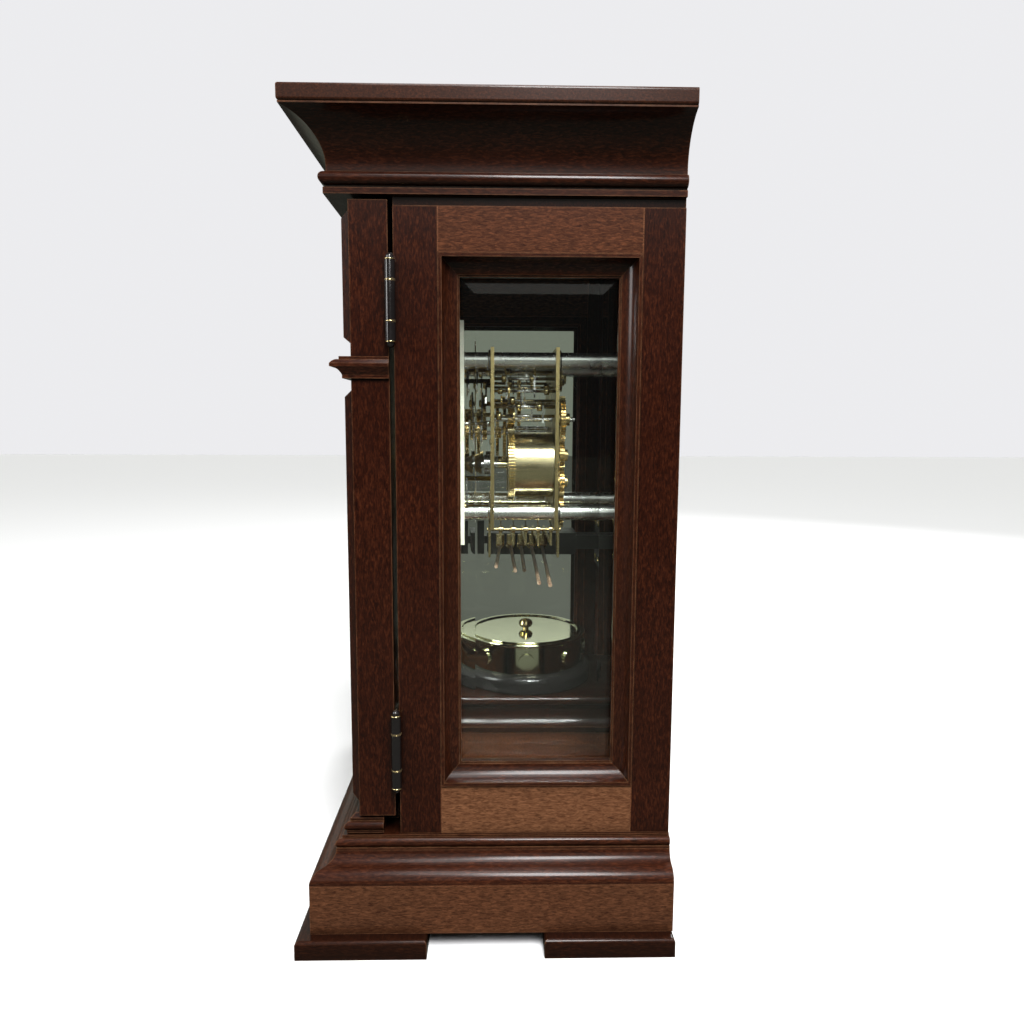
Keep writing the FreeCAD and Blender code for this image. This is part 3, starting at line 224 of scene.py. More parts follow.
# ---------------------------------------------------------------- shader building blocks
class Shader:
    """A small helper that adds and links nodes in one material."""

    def __init__(self, name):
        """Start a material with its Principled surface."""
        self.material = bpy.data.materials.new(name)
        self.material.use_nodes = True
        self.tree = self.material.node_tree
        self.surface = self.tree.nodes["Principled BSDF"]

    def put(self, kind, **settings):
        """Add a node and set its properties."""
        new = self.tree.nodes.new(kind)
        for key, value in settings.items():
            setattr(new, key, value)
        return new

    def feed(self, socket, value):
        """Link an output to a socket, or set a plain value there. A colour gets its alpha."""
        if isinstance(value, bpy.types.NodeSocket):
            self.tree.links.new(value, socket)
        elif isinstance(value, tuple):
            socket.default_value = (*value, 1)
        else:
            socket.default_value = value

    def math(self, operation, first, second=0.0):
        """The result of a maths node on one or two numbers."""
        node = self.put("ShaderNodeMath", operation=operation)
        self.feed(node.inputs[0], first)
        self.feed(node.inputs[1], second)
        return node.outputs[0]

    def place(self):
        """The point's own place in the clock's frame, split into x, y and z."""
        where = self.put("ShaderNodeTexCoord").outputs["Object"]
        split = self.put("ShaderNodeSeparateXYZ")
        self.feed(split.inputs[0], where)
        return where, split.outputs

    def vector(self, x, y, z):
        """Three numbers joined into a vector."""
        node = self.put("ShaderNodeCombineXYZ")
        for socket, value in zip(node.inputs, (x, y, z)):
            self.feed(socket, value)
        return node.outputs[0]

    def noise(self, vector, scale, detail, rough, warp=0.0):
        """Noise from 0 to 1."""
        node = self.put("ShaderNodeTexNoise")
        self.feed(node.inputs["Vector"], vector)
        node.inputs["Scale"].default_value = scale
        node.inputs["Detail"].default_value = detail
        node.inputs["Roughness"].default_value = rough
        node.inputs["Distortion"].default_value = warp
        return node.outputs["Fac"]

    def ramp(self, value, *stops):
        """A colour ramp with (position, colour) stops."""
        node = self.put("ShaderNodeValToRGB")
        self.feed(node.inputs[0], value)
        fill_ramp(node, stops)
        return node.outputs[0]

    def span(self, value, low, high, to_low, to_high):
        """A number moved from one range to another, held at the ends."""
        node = self.put("ShaderNodeMapRange")
        for socket, number in zip(node.inputs, (value, low, high, to_low, to_high)):
            self.feed(socket, number)
        return node.outputs[0]

    def mix(self, share, first, second):
        """Two colours mixed, all of the second where the share is 1."""
        node = self.put("ShaderNodeMix", data_type="RGBA", blend_type="MIX")
        self.feed(node.inputs[0], share)
        self.feed(node.inputs[6], first)
        self.feed(node.inputs[7], second)
        return node.outputs[2]

    def bump(self, height, strength, distance):
        """A normal bent by a height."""
        node = self.put("ShaderNodeBump")
        node.inputs["Strength"].default_value = strength
        node.inputs["Distance"].default_value = distance
        self.feed(node.inputs["Height"], height)
        return node.outputs[0]

    def edges(self, radius):
        """About 1 on sharp edges and 0 on flats."""
        bevel = self.put("ShaderNodeBevel", samples=4)
        bevel.inputs["Radius"].default_value = radius
        normal = self.put("ShaderNodeNewGeometry").outputs["Normal"]
        node = self.put("ShaderNodeVectorMath", operation="DOT_PRODUCT")
        self.feed(node.inputs[0], bevel.outputs[0])
        self.feed(node.inputs[1], normal)
        return self.span(node.outputs["Value"], 0.995, 0.90, 0.0, 1.0)

    def set(self, **values):
        """Set the surface's sockets; underscores stand for spaces."""
        for key, value in values.items():
            self.feed(self.surface.inputs[key.replace("_", " ")], value)


def shaded(colour, share):
    """A colour made darker or brighter, held at 1."""
    return tuple(min(1.0, part * share) for part in colour)


def plan_mitre(shader):
    """1 where a run of moulding faces sideways, 0 where it faces forwards or back."""
    facing = shader.put("ShaderNodeNewGeometry").outputs["True Normal"]
    split = shader.put("ShaderNodeSeparateXYZ")
    shader.feed(split.inputs[0], facing)
    sideways = shader.math("ABSOLUTE", split.outputs[0])
    forwards = shader.math("ABSOLUTE", split.outputs[1])
    return shader.math("GREATER_THAN", sideways, forwards)


def frame_mitre(pane, wide, tall):
    """A test for the upright runs of a mitred frame round a pane of glass."""
    low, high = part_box(pane)
    middle = (low + high) / 2
    half = (high - low) / 2

    def upright(shader):
        """1 on the frame's upright runs, 0 on its level ones."""
        _, place = shader.place()
        reach = []
        for axis in (wide, tall):
            offset = shader.math("ABSOLUTE", shader.math("SUBTRACT", place[axis], middle[axis]))
            reach.append(shader.math("SUBTRACT", offset, half[axis]))
        return shader.math("GREATER_THAN", reach[0], reach[1])
    return upright


def grain_place(shader, axis, other, mitre):
    """Grain coordinates as (along, across, across), which turn at a mitre."""
    _, (x, y, z) = shader.place()
    orders = {"X": (x, y, z), "Y": (y, x, z), "Z": (z, x, y)}
    first = shader.vector(*orders[axis])
    if mitre is None:
        return first
    node = shader.put("ShaderNodeMix", data_type="VECTOR")
    shader.feed(node.inputs[0], mitre(shader))
    shader.feed(node.inputs[4], first)
    shader.feed(node.inputs[5], shader.vector(*orders[other]))
    return node.outputs[1]


def wood(name, axis, other, mitre, shift, dark, tan_and_sheen):
    """Dark cherry stain under satin lacquer: fine figure, pores, clouding, painted shade
    darkening the hollows, and pale edges that are partly wear and partly painted highlight.

    The grain runs along axis, or along other where the mitre test says so. shift moves the
    figure, so that no two pieces show the same one. dark scales the stain's brightness: below
    1 is darker, and on the case ceiling its low value is a painted shadow. The tan share is the
    share of a pale tan: bare wood showing through, and on the rails and plinth also a painted
    sheen. It can be (low share, high share), where it fades from the foot of the clock to its
    top, so that the painted sheen makes the lower rail lighter.
    """
    s = Shader(name)
    grain = grain_place(s, axis, other, mitre)

    def stretched(share, offset):
        """Grain coordinates drawn out along the grain, and moved along it."""
        node = s.put("ShaderNodeMapping")
        s.feed(node.inputs["Vector"], grain)
        node.inputs["Location"].default_value = (shift + offset, shift * 0.7, shift * 1.3)
        node.inputs["Scale"].default_value = (share, 1, 1)
        return node.outputs[0]

    def stain(red, green, blue):
        """A colour scaled by this piece's stain."""
        return red * dark, green * dark, blue * dark
    figure = s.noise(stretched(0.26, 0.0), 1050, 4, 0.62, 0.7)
    streaks = s.noise(stretched(0.07, 0.3), 260, 4, 0.6, 0.4)
    cloud = s.noise(grain, 17, 3, 0.55)
    base = s.ramp(figure, (0.32, stain(0.008, 0.0014, 0.0006)),
                  (0.50, stain(0.030, 0.0062, 0.0024)), (0.68, stain(0.090, 0.0225, 0.0085)))
    lined = s.mix(s.span(streaks, 0.35, 0.7, 0.0, 0.35), base, stain(0.046, 0.0100, 0.0040))
    mottled = s.mix(s.span(cloud, 0.38, 0.68, 0.0, 0.45), lined, stain(0.015, 0.0028, 0.0012))
    if tan_and_sheen:
        # Pale tan: bare wood showing through, and on the rails and plinth a painted sheen that is
        # lighter low down.
        pale_tan = s.ramp(figure, (0.30, (0.085, 0.031, 0.013)), (0.70, (0.25, 0.112, 0.052)))
        share = tan_and_sheen
        if isinstance(tan_and_sheen, tuple):
            _, place = s.place()
            share = s.span(place[2], CAD_BOX[0].z, CAD_BOX[1].z, *tan_and_sheen)
        mottled = s.mix(share, mottled, pale_tan)
    fleck = s.span(s.noise(stretched(0.12, 0.6), 2300, 2, 0.5), 0.58, 0.66, 0.0, 1.0)
    flecked = s.mix(s.math("MULTIPLY", fleck, 0.6), mottled, stain(0.007, 0.002, 0.001))
    # Painted shade: ambient occlusion darkens the hollows and the corners between parts towards
    # near-black.
    shade_occlusion = s.put("ShaderNodeAmbientOcclusion", samples=6)
    shade_occlusion.inputs["Distance"].default_value = 0.011
    painted_shade = s.span(shade_occlusion.outputs["AO"], 0.40, 0.95, 0.88, 0.0)
    shade_darkened = s.mix(painted_shade, flecked, (0.0050, 0.0016, 0.0009))
    # Pale edges: partly wear, partly a painted highlight along the moulding edges.
    scuff = s.noise(grain, 160, 4, 0.7)
    wear_and_highlight = s.math("MULTIPLY", s.edges(0.0010), s.span(scuff, 0.38, 0.60, 0.12, 0.42))
    coloured = s.mix(wear_and_highlight, shade_darkened, (0.24, 0.110, 0.052))
    satin = s.span(s.noise(grain, 90, 4, 0.6), 0.3, 0.7, 0.36, 0.50)
    relief = s.math("SUBTRACT", s.math("MULTIPLY", figure, 0.6), s.math("MULTIPLY", fleck, 0.4))
    s.set(Base_Color=coloured, Roughness=satin, Specular_IOR_Level=0.05,
          Coat_Weight=0.42, Coat_Roughness=0.17, Normal=s.bump(relief, 0.30, 0.00016))
    return s.material


def metal(name, colour, rough, streak, axis, tarnish, edge=0.0, dull=0.6):
    """Metal with fine lines, uneven tarnish and, where edge is given, polished edges.

    The lines run along X, Y or Z, or round Y when the axis is "turned". The tarnish is the
    colour times dull.
    """
    s = Shader(name)
    where, (x, y, z) = s.place()
    orders = {"X": (x, y, z), "Y": (y, x, z), "Z": (z, x, y), "turned": (x, z, y)}
    lines = s.put("ShaderNodeMapping")
    s.feed(lines.inputs["Vector"], s.vector(*orders[axis]))
    lines.inputs["Scale"].default_value = (0.04, 0.04 if axis == "turned" else 1, 1)
    brushed = s.noise(lines.outputs[0], 2600, 3, 0.6)
    cloud = s.noise(where, 75, 5, 0.62, 0.4)
    patina = s.span(cloud, 0.40, 0.72, 0.0, tarnish)
    toned = s.mix(patina, colour, shaded(colour, dull))
    lined = s.mix(s.math("MULTIPLY", brushed, 0.35 * streak), toned, shaded(colour, 0.72))
    if edge:
        lined = s.mix(s.math("MULTIPLY", s.edges(0.0005), edge), lined, shaded(colour, 1.25))
    gloss = s.math("ADD", s.span(cloud, 0.35, 0.7, rough * 0.92, rough * 1.12),
                   s.math("MULTIPLY", brushed, 0.10 * streak))
    s.set(Base_Color=lined, Metallic=1.0, Roughness=gloss,
          Normal=s.bump(s.math("ADD", brushed, s.math("MULTIPLY", cloud, 0.03)),
                        0.06 + 0.14 * streak, 0.00012))
    return s.material


def arbored(name, brass, steel, centre, radius):
    """A brass wheel on a steel arbor along Y: the metal changes at the arbor's surface."""
    s = Shader(name)
    where, (x, y, z) = s.place()
    across_x = s.math("SUBTRACT", x, centre[0])
    across_z = s.math("SUBTRACT", z, centre[1])
    away = s.math("SQRT", s.math("ADD", s.math("MULTIPLY", across_x, across_x),
                                 s.math("MULTIPLY", across_z, across_z)))
    wheel = s.math("GREATER_THAN", away, radius)
    cloud = s.noise(where, 90, 5, 0.65, 0.4)
    turned_marks = s.noise(s.vector(s.math("MULTIPLY", y, 0.6), away, 0.0), 2400, 3, 0.6)
    patina = s.span(cloud, 0.40, 0.72, 0.0, 0.6)
    brass_tone = s.mix(patina, brass, shaded(brass, 0.45))
    steel_tone = s.mix(patina, steel, shaded(steel, 0.55))
    s.set(Base_Color=s.mix(wheel, steel_tone, brass_tone), Metallic=1.0,
          Roughness=s.math("ADD", s.span(cloud, 0.35, 0.7, 0.14, 0.32),
                           s.math("MULTIPLY", turned_marks, 0.08)),
          Normal=s.bump(turned_marks, 0.12, 0.00012))
    return s.material


def glass(name, tint):
    """Clear plate glass with faint smears, which lets lamplight straight through."""
    s = Shader(name)
    where, _ = s.place()
    smear = s.noise(where, 28, 5, 0.7, 0.8)
    s.set(Base_Color=tint, Roughness=s.span(smear, 0.56, 0.80, 0.0, 0.012), IOR=1.5,
          Transmission_Weight=1.0, Normal=s.bump(s.noise(where, 12, 2, 0.4), 0.01, 0.0003))
    clear = s.put("ShaderNodeBsdfTransparent")
    clear.inputs["Color"].default_value = (*tint, 1)
    path = s.put("ShaderNodeLightPath")
    mixed = s.put("ShaderNodeMixShader")
    s.feed(mixed.inputs[0], path.outputs["Is Shadow Ray"])
    s.feed(mixed.inputs[1], s.surface.outputs[0])
    s.feed(mixed.inputs[2], clear.outputs[0])
    s.feed(s.tree.nodes["Material Output"].inputs["Surface"], mixed.outputs[0])
    return s.material


def lacquer(name, colour, rough, speck=0.0):
    """Painted or japanned finish with fine orange peel, faint dust and rubbed edges."""
    s = Shader(name)
    where, _ = s.place()
    peel = s.noise(where, 520, 3, 0.6)
    dust = s.noise(where, 60, 5, 0.7)
    rubbed = s.math("MULTIPLY", s.edges(0.0006), s.span(dust, 0.35, 0.6, 0.15, 0.75))
    dusty = tuple(min(1.0, part * 1.6 + 0.004) for part in colour)
    toned = s.mix(s.span(dust, 0.45, 0.7, 0.0, 0.35), colour, dusty)
    shown = s.mix(s.math("MULTIPLY", rubbed, speck), toned, (0.34, 0.24, 0.12))
    s.set(Base_Color=shown, Roughness=s.span(dust, 0.3, 0.7, rough * 0.8, rough * 1.4),
          Normal=s.bump(peel, 0.03, 0.0001))
    return s.material


def rod_bronze():
    """Dark bronze chime rods, each pale from its own place to its free end: partly the ends' paler
    metal, partly a painted reflection.
    """
    s = Shader("chime_rod_bronze")
    where, (x, y, _) = s.place()
    row = s.noise(s.vector(0.0, y, 0.0), 160, 0, 0.5)
    tip = s.math("ADD", s.math("MULTIPLY", y, 1.35), s.math("MULTIPLY", row, 0.018))
    # The pale free end is partly paler metal and partly a painted reflection of the light.
    pale_and_glint = s.span(s.math("SUBTRACT", x, tip), 0.004, 0.016, 0.0, 1.0)
    blot = s.noise(where, 330, 4, 0.6)
    dark = s.mix(s.span(blot, 0.4, 0.7, 0.0, 1.0), (0.052, 0.032, 0.018), (0.16, 0.10, 0.06))
    light = s.mix(s.span(blot, 0.4, 0.65, 0.0, 1.0), (0.60, 0.43, 0.31), (0.34, 0.19, 0.12))
    s.set(Base_Color=s.mix(pale_and_glint, dark, light), Metallic=0.65, Roughness=0.42,
          Normal=s.bump(blot, 0.25, 0.0002))
    return s.material


# ---------------------------------------------------------------- finishes on the frame's nodes
def give(material, *names):
    """Put one material on whole nodes."""
    for name in names:
        mesh = NODES[name].data
        mesh.materials.clear()
        mesh.materials.append(material)


# Straight joinery: node, grain axis, and stain and tan share as wood() takes them. On the rails the
# tan share is partly a painted sheen, strongest low down.
STRAIGHT_WOOD = (
    ("top_board", "X", 0.6, 0.05),
    # The case ceiling's low stain is a painted shadow on the recessed band under the cornice.
    ("case_ceiling", "X", 0.35, 0),
    ("side_stiles", "Z", 0.66, 0),
    ("case_rails", "Y", 1.1, (0.85, 0.08)),
    ("back_board", "Z", 0.9, 0),
    ("case_floor", "X", 0.8, 0.15),
    ("display_shelf", "X", 0.5, 0),
    ("base_core", "X", 0.6, 0),
    ("door_stiles", "Z", 0.66, 0),
    ("door_rails", "X", 1.0, 0.22),
    ("pilaster_fields", "Z", 0.7, 0),
)
# Mouldings that turn a corner in plan: node, stain and tan share. On the plinth the tan share is
# partly a painted sheen.
MITRED_WOOD = (
    ("cornice_moulding", 0.66, 0.02),
    ("base_moulding", 0.72, 0.04),
    ("plinth", 0.95, 0.36),
    ("feet", 0.42, 0.02),
    ("waist_mouldings", 0.66, 0.02),
    ("door_base_moulding", 0.5, 0.01),
)


def finish_wood():
    """Each piece of joinery gets its own grain direction and offset."""
    side_frame = frame_mitre("side_glass", 1, 2)
    door_frame = frame_mitre("door_glass", 0, 2)
    plans = [(name, axis, None, None, dark, tan_and_sheen) for name, axis, dark, tan_and_sheen in STRAIGHT_WOOD]
    plans += [(name, "X", "Y", plan_mitre, dark, tan_and_sheen) for name, dark, tan_and_sheen in MITRED_WOOD]
    plans.append(("window_beads", "Y", "Z", side_frame, 0.66, 0.03))
    plans.append(("door_glass_beads", "X", "Z", door_frame, 0.66, 0.03))
    for number, (name, axis, other, mitre, dark, tan_and_sheen) in enumerate(plans):
        shift = 0.37 * (number + 1)
        give(wood("wood_" + name, axis, other, mitre, shift, dark, tan_and_sheen), name)


def finish_metal():
    """Brass, steel, silver, bronze and japanned iron."""
    movement = metal("movement_brass", (0.58, 0.45, 0.21), 0.26, 0.5, "Z", 0.5, 0.6)
    give(movement, "front_plate", "rear_plate")
    brass, steel = (0.68, 0.53, 0.26), (0.74, 0.73, 0.70)
    arbor_round = 1.62 * MM
    turning = {joint["child"]: joint["pos_m"] for joint in frame["joints"]
               if joint["type"] == "hinge"}
    for name in ("minute_wheel", "time_second_wheel", "third_wheel", "chime_drive_wheel",
                 "chime_idler_upper", "chime_idler_lower", "chime_drum", "balance_wheel"):
        x, _, z = turning[name]
        give(arbored("arbor_and_" + name, brass, steel, (x, z), arbor_round), name)
    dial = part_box("chapter_ring")
    middle = (dial[0] + dial[1]) / 2
    for name in ("hour_wheel", "centre_arbor"):
        give(arbored("arbor_and_" + name, brass, steel, (middle.x, middle.z), arbor_round), name)
    barrel = metal("barrel_brass", (0.66, 0.56, 0.33), 0.20, 0.5, "turned", 0.3, 0.4)
    give(barrel, "time_barrel", "chime_barrel")
    give(metal("polished_steel", (0.92, 0.92, 0.88), 0.25, 0.2, "Y", 0.12), "mounting_pillars")
    give(metal("arbor_steel", (0.50, 0.49, 0.47), 0.22, 0.3, "Y", 0.3),
         "time_winding_arbor", "chime_winding_arbor")
    give(metal("pale_nickel", (0.74, 0.73, 0.52), 0.055, 0.25, "X", 0.22), "box_lid", "box_bowl")
    give(metal("knob_brass", (0.62, 0.50, 0.25), 0.14, 0.0, "Y", 0.4, 0.6), "box_knob")
    give(metal("door_brass", (0.74, 0.54, 0.22), 0.14, 0.0, "Y", 0.3, 0.5), "door_knob")
    give(metal("dial_brass", (0.74, 0.55, 0.24), 0.28, 0.45, "X", 0.06), "dial_plate")
    give(metal("dial_silver", (0.84, 0.83, 0.78), 0.30, 0.8, "X", 0.10, 0.0, 0.85), "chapter_ring")
    give(metal("catch_steel", (0.45, 0.45, 0.46), 0.35, 0.4, "X", 0.4), "catch_plate")
    give(metal("hammer_brass", (0.64, 0.51, 0.26), 0.24, 0.4, "X", 0.6, 0.5), "hammer_frame",
         "hammer_1", "hammer_2", "hammer_3", "hammer_4", "hammer_5")
    give(rod_bronze(), "chime_rods")
    give(lacquer("cast_black", (0.007, 0.006, 0.006), 0.40, 0.12), "chime_block")
    give(lacquer("hinge_black", (0.006, 0.005, 0.005), 0.13, 0.6), "case_hinge_leaves",
         "door_hinge_leaves", "hinge_pins")
    give(lacquer("hand_black", (0.010, 0.010, 0.011), 0.22), "minute_hand", "hour_hand")
    give(lacquer("black_lacquer", (0.010, 0.009, 0.009), 0.16), "box_foot")
    give(lacquer("catch_black", (0.020, 0.019, 0.018), 0.5), "magnetic_catch")
    give(glass("window_glass", (0.93, 0.965, 0.945)), "side_glass", "door_glass")


# ---------------------------------------------------------------- building pieces
def mesh_piece(name, solids, material, body):
    """One object from a bmesh, its faces pointing outwards, riding on a body."""
    bmesh.ops.recalc_face_normals(solids, faces=solids.faces[:])
    mesh = bpy.data.meshes.new(name)
    solids.to_mesh(mesh)
    solids.free()
    piece = bpy.data.objects.new(name, mesh)
    bpy.context.scene.collection.objects.link(piece)
    mesh.materials.append(material)
    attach(piece, body)


def basis(axis):
    """Two directions square to an axis."""
    first = axis.orthogonal().normalized()
    return first, axis.cross(first).normalized()


def lathe(solids, place, axis, profile, sides):
    """Turn (radius, along) points, in millimetres, about an axis through a place."""
    axis = axis.normalized()
    first, second = basis(axis)
    rings = []
    for radius, along in profile:
        centre = place + axis * along * MM
        if radius == 0:
            rings.append([solids.verts.new(centre)])
            continue
        rings.append([solids.verts.new(centre + (first * math.cos(turn) + second * math.sin(turn))
                                       * radius * MM)
                      for turn in (math.tau * side / sides for side in range(sides))])
    for lower, upper in zip(rings, rings[1:]):
        for side in range(sides):
            after = (side + 1) % sides
            if len(lower) == 1:
                face = solids.faces.new((lower[0], upper[after], upper[side]))
            elif len(upper) == 1:
                face = solids.faces.new((lower[side], lower[after], upper[0]))
            else:
                face = solids.faces.new((lower[side], lower[after], upper[after], upper[side]))
            face.smooth = True


def slab(solids, outline, low, high):
    """A flat plate from (x, z) points in millimetres, between two y levels."""
    front = [solids.verts.new((x * MM, low * MM, z * MM)) for x, z in outline]
    back = [solids.verts.new((x * MM, high * MM, z * MM)) for x, z in outline]
    solids.faces.new(front)
    solids.faces.new(back[::-1])
    for index in range(len(front)):
        after = (index + 1) % len(front)
        solids.faces.new((front[after], front[index], back[index], back[after]))


def wire(name, points, radius, material, body):
    """A round wire on a smooth curve, its points and radius in millimetres."""
    data = bpy.data.curves.new(name, "CURVE")
    data.dimensions = "3D"
    data.bevel_depth = radius * MM
    data.bevel_resolution = 3
    data.use_fill_caps = True
    spline = data.splines.new("NURBS")
    spline.points.add(len(points) - 1)
    for point, place in zip(spline.points, points):
        point.co = (place[0] * MM, place[1] * MM, place[2] * MM, 1)
    spline.order_u = 3
    spline.use_endpoint_u = True
    piece = bpy.data.objects.new(name, data)
    bpy.context.scene.collection.objects.link(piece)
    data.materials.append(material)
    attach(piece, body)


def screw(solids, place, axis, radius, high):
    """A slotted round-head screw standing on a surface, its slot turned by its place."""
    lathe(solids, place, axis, [(0, SUNK), (radius, SUNK), (radius, high * 0.45),
                                (radius * 0.86, high * 0.85), (radius * 0.5, high), (0, high)], 24)
    slot_proud = 0.01
    first, second = basis(axis.normalized())
    turn = (place.x * 917 + place.z * 613) % 1 * math.pi
    along = first * math.cos(turn) + second * math.sin(turn)
    aside = axis.normalized().cross(along)
    half_long, half_wide, lift = radius * 0.8 * MM, radius * 0.13 * MM, (high + slot_proud) * MM
    base = place + axis.normalized() * lift
    corners = [base + along * u * half_long + aside * v * half_wide
               for u, v in ((-1, -1), (1, -1), (1, 1), (-1, 1))]
    solids.faces.new([solids.verts.new(corner) for corner in corners])


# ---------------------------------------------------------------- dial
def stroke(start, end, wide):
    """A straight stroke as four (across, up) corners."""
    run = Vector(end) - Vector(start)
    side = Vector((-run.y, run.x)).normalized() * wide / 2
    return [Vector(start) - side, Vector(start) + side, Vector(end) + side, Vector(end) - side]


def numeral(text, high):
    """The strokes of a roman numeral, centred, standing on zero."""
    widths = {"I": 2.6, "V": 6.2, "X": 6.2}
    margin, upright, thick, thin, serif = 0.9, 1.3, 1.4, 0.5, 0.3
    across = -sum(widths[letter] for letter in text) / 2
    strokes = []
    for letter in text:
        wide = widths[letter]
        middle, left, right = across + wide / 2, across + margin, across + wide - margin
        if letter == "I":
            strokes.append(stroke((middle, 0), (middle, high), upright))
            left, right = middle - 0.7, middle + 0.7
        elif letter == "V":
            strokes.append(stroke((left, high), (middle, 0), thick))
            strokes.append(stroke((middle, 0), (right, high), thin))
        else:
            strokes.append(stroke((left, high), (right, 0), thick))
            strokes.append(stroke((left, 0), (right, high), thin))
        for level in (serif / 2, high - serif / 2):
            strokes.append(stroke((left - 0.6, level), (right + 0.6, level), serif))
        across += wide
    return strokes


def dial_details(ink, brass):
    """Numerals, minute track, bezel rings, corner rosettes, winding-hole rings and the hand nut."""
    low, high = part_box("chapter_ring")
    centre = (low + high) / 2
    outer, face = (high.x - low.x) / 2 / MM, low.y / MM
    ink_levels = (face - 0.06, face + 0.04)
    solids = bmesh.new()
    hours = ("XII", "I", "II", "III", "IIII", "V", "VI", "VII", "VIII", "IX", "X", "XI")

    def marks(shapes, turn, radius):
        """Print upright shapes at an angle round the dial, standing on a radius."""
        out = Vector((math.sin(turn), math.cos(turn)))
        aside = Vector((math.cos(turn), -math.sin(turn)))
        for shape in shapes:
            places = [out * (radius + point.y) + aside * point.x for point in shape]
            slab(solids, [(centre.x / MM + spot.x, centre.z / MM + spot.y) for spot in places],
                 *ink_levels)
    numeral_high, numeral_foot = 9.5, outer - 17.5
    for hour, text in enumerate(hours):
        marks(numeral(text, numeral_high), math.tau * hour / 12, numeral_foot)
    for minute in range(60):
        wide = 1.1 if minute % 5 == 0 else 0.35
        marks([stroke((0, 0), (0, 3.0), wide)], math.tau * minute / 60, outer - 5.4)
    steps, line = 120, 0.25
    for radius in (outer - 5.5, outer - 2.3):
        for step in range(steps):
            turns = [math.tau * (step + more) / steps for more in (0, 1)]
            ring = [(centre.x / MM + (radius + wide) * math.sin(turn),
                     centre.z / MM + (radius + wide) * math.cos(turn))
                    for turn, wide in ((turns[0], 0), (turns[1], 0), (turns[1], line),
                                       (turns[0], line))]
            slab(solids, ring, *ink_levels)
    mesh_piece("dial_numerals", solids, ink, "case")

    solids = bmesh.new()
    plate_low, plate_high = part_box("dial_plate")
    front = Vector((centre.x, plate_low.y, centre.z))
    for radius in (outer + 1.2, outer - 21.2):
        lathe(solids, front, -ALONG_Y,
              [(radius - 0.8, SUNK), (radius - 0.8, 0.5), (radius - 0.3, 1.0),
               (radius + 0.3, 1.0), (radius + 0.8, 0.5), (radius + 0.8, SUNK)], 128)
    inset, petals, petal_ring = 9.0 * MM, 8, 6.2 * MM
    for side in (-1, 1):
        for level in (plate_low.z + inset, plate_high.z - inset):
            corner = Vector((side * (plate_high.x - inset), plate_low.y, level))
            lathe(solids, corner, -ALONG_Y, [(0, 1.6), (1.2, 1.5), (1.8, 0.8), (2.8, 0.7),
                                             (3.4, 1.1), (4.2, 0.9), (4.8, SUNK)], 40)
            for petal in range(petals):
                turn = math.tau * petal / petals
                spot = corner + Vector((math.cos(turn), 0, math.sin(turn))) * petal_ring
                lathe(solids, spot, -ALONG_Y, [(0, 0.8), (0.8, 0.6), (1.3, SUNK)], 16)
    for side in (-1, 1):
        lathe(solids, Vector((side * WINDING.x, plate_low.y, WINDING.z)), -ALONG_Y,
              [(3.7, SUNK), (3.7, 0.5), (4.4, 0.8), (5.2, 0.5), (5.2, SUNK)], 48)
    mesh_piece("dial_trim", solids, brass, "case")
    solids = bmesh.new()
    hand_low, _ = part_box("minute_hand")
    lathe(solids, Vector((centre.x, hand_low.y, centre.z)), -ALONG_Y,
          [(3.0, SUNK), (3.0, 0.6), (2.4, 1.2), (1.4, 1.5), (1.6, 1.9), (0, 2.1)], 32)
    mesh_piece("hand_nut", solids, brass, "minute_arbor")


# ---------------------------------------------------------------- movement
# Small arbors between the plates: x and z, radius, then what each carries as (kind, share of
# the way from front plate to rear plate, size). An arm's size is its reach in x and z.
ARBORS = (
    ("warning", 45.0, 321.0, 1.1,
     (("collar", 0.16, 2.3), ("arm", 0.20, (-3, -13)), ("collar", 0.62, 2.0),
      ("arm", 0.66, (2, -12)))),
    ("locking", 47.5, 313.0, 1.0,
     (("collar", 0.10, 2.0), ("wheel", 0.24, 5.2), ("arm", 0.50, (-4, -9)),
      ("collar", 0.86, 2.4))),
    ("fly", 43.0, 307.0, 0.9, (("collar", 0.30, 2.6), ("vane", 0.56, 5.5), ("wheel", 0.12, 3.4))),
    ("lifting", 49.0, 303.0, 1.2,
     (("collar", 0.40, 2.4), ("arm", 0.44, (-5, 11)), ("collar", 0.74, 2.8),
      ("arm", 0.80, (-2, -10)))),
    ("rack", 44.5, 297.0, 1.1,
     (("wheel", 0.33, 4.4), ("collar", 0.08, 2.6), ("arm", 0.62, (4, 6)))),
    ("pallet", 20.0, 327.0, 0.9,
     (("collar", 0.22, 2.0), ("arm", 0.28, (-6, -4)), ("wheel", 0.7, 4.0))),
    ("stop", 34.0, 330.0, 1.0,
     (("collar", 0.5, 2.2), ("arm", 0.54, (3, -11)), ("wheel", 0.18, 3.6))),
    ("governor", 30.0, 316.0, 0.9,
     (("wheel", 0.42, 6.0), ("collar", 0.88, 2.4), ("vane", 0.68, 4.2))),
    ("strike_stop", -40.0, 322.0, 1.1,
     (("collar", 0.3, 2.6), ("arm", 0.36, (5, -9)), ("wheel", 0.7, 6.0))),
    ("strike_fly", -46.0, 306.0, 0.9, (("vane", 0.5, 5.0), ("wheel", 0.16, 3.6))),
)


def small_wheel(solids, x, z, y, radius):
    """A thin wheel with square-cut teeth."""
    teeth = max(12, int(radius * 6))
    outline = []
    for tooth in range(teeth):
        for share, reach in ((0.0, 1.0), (0.42, 1.0), (0.5, 0.88), (0.92, 0.88)):
            turn = math.tau * (tooth + share) / teeth
            outline.append((x + radius * reach * math.cos(turn),
                            z + radius * reach * math.sin(turn)))
    slab(solids, outline, y - 0.5, y + 0.5)


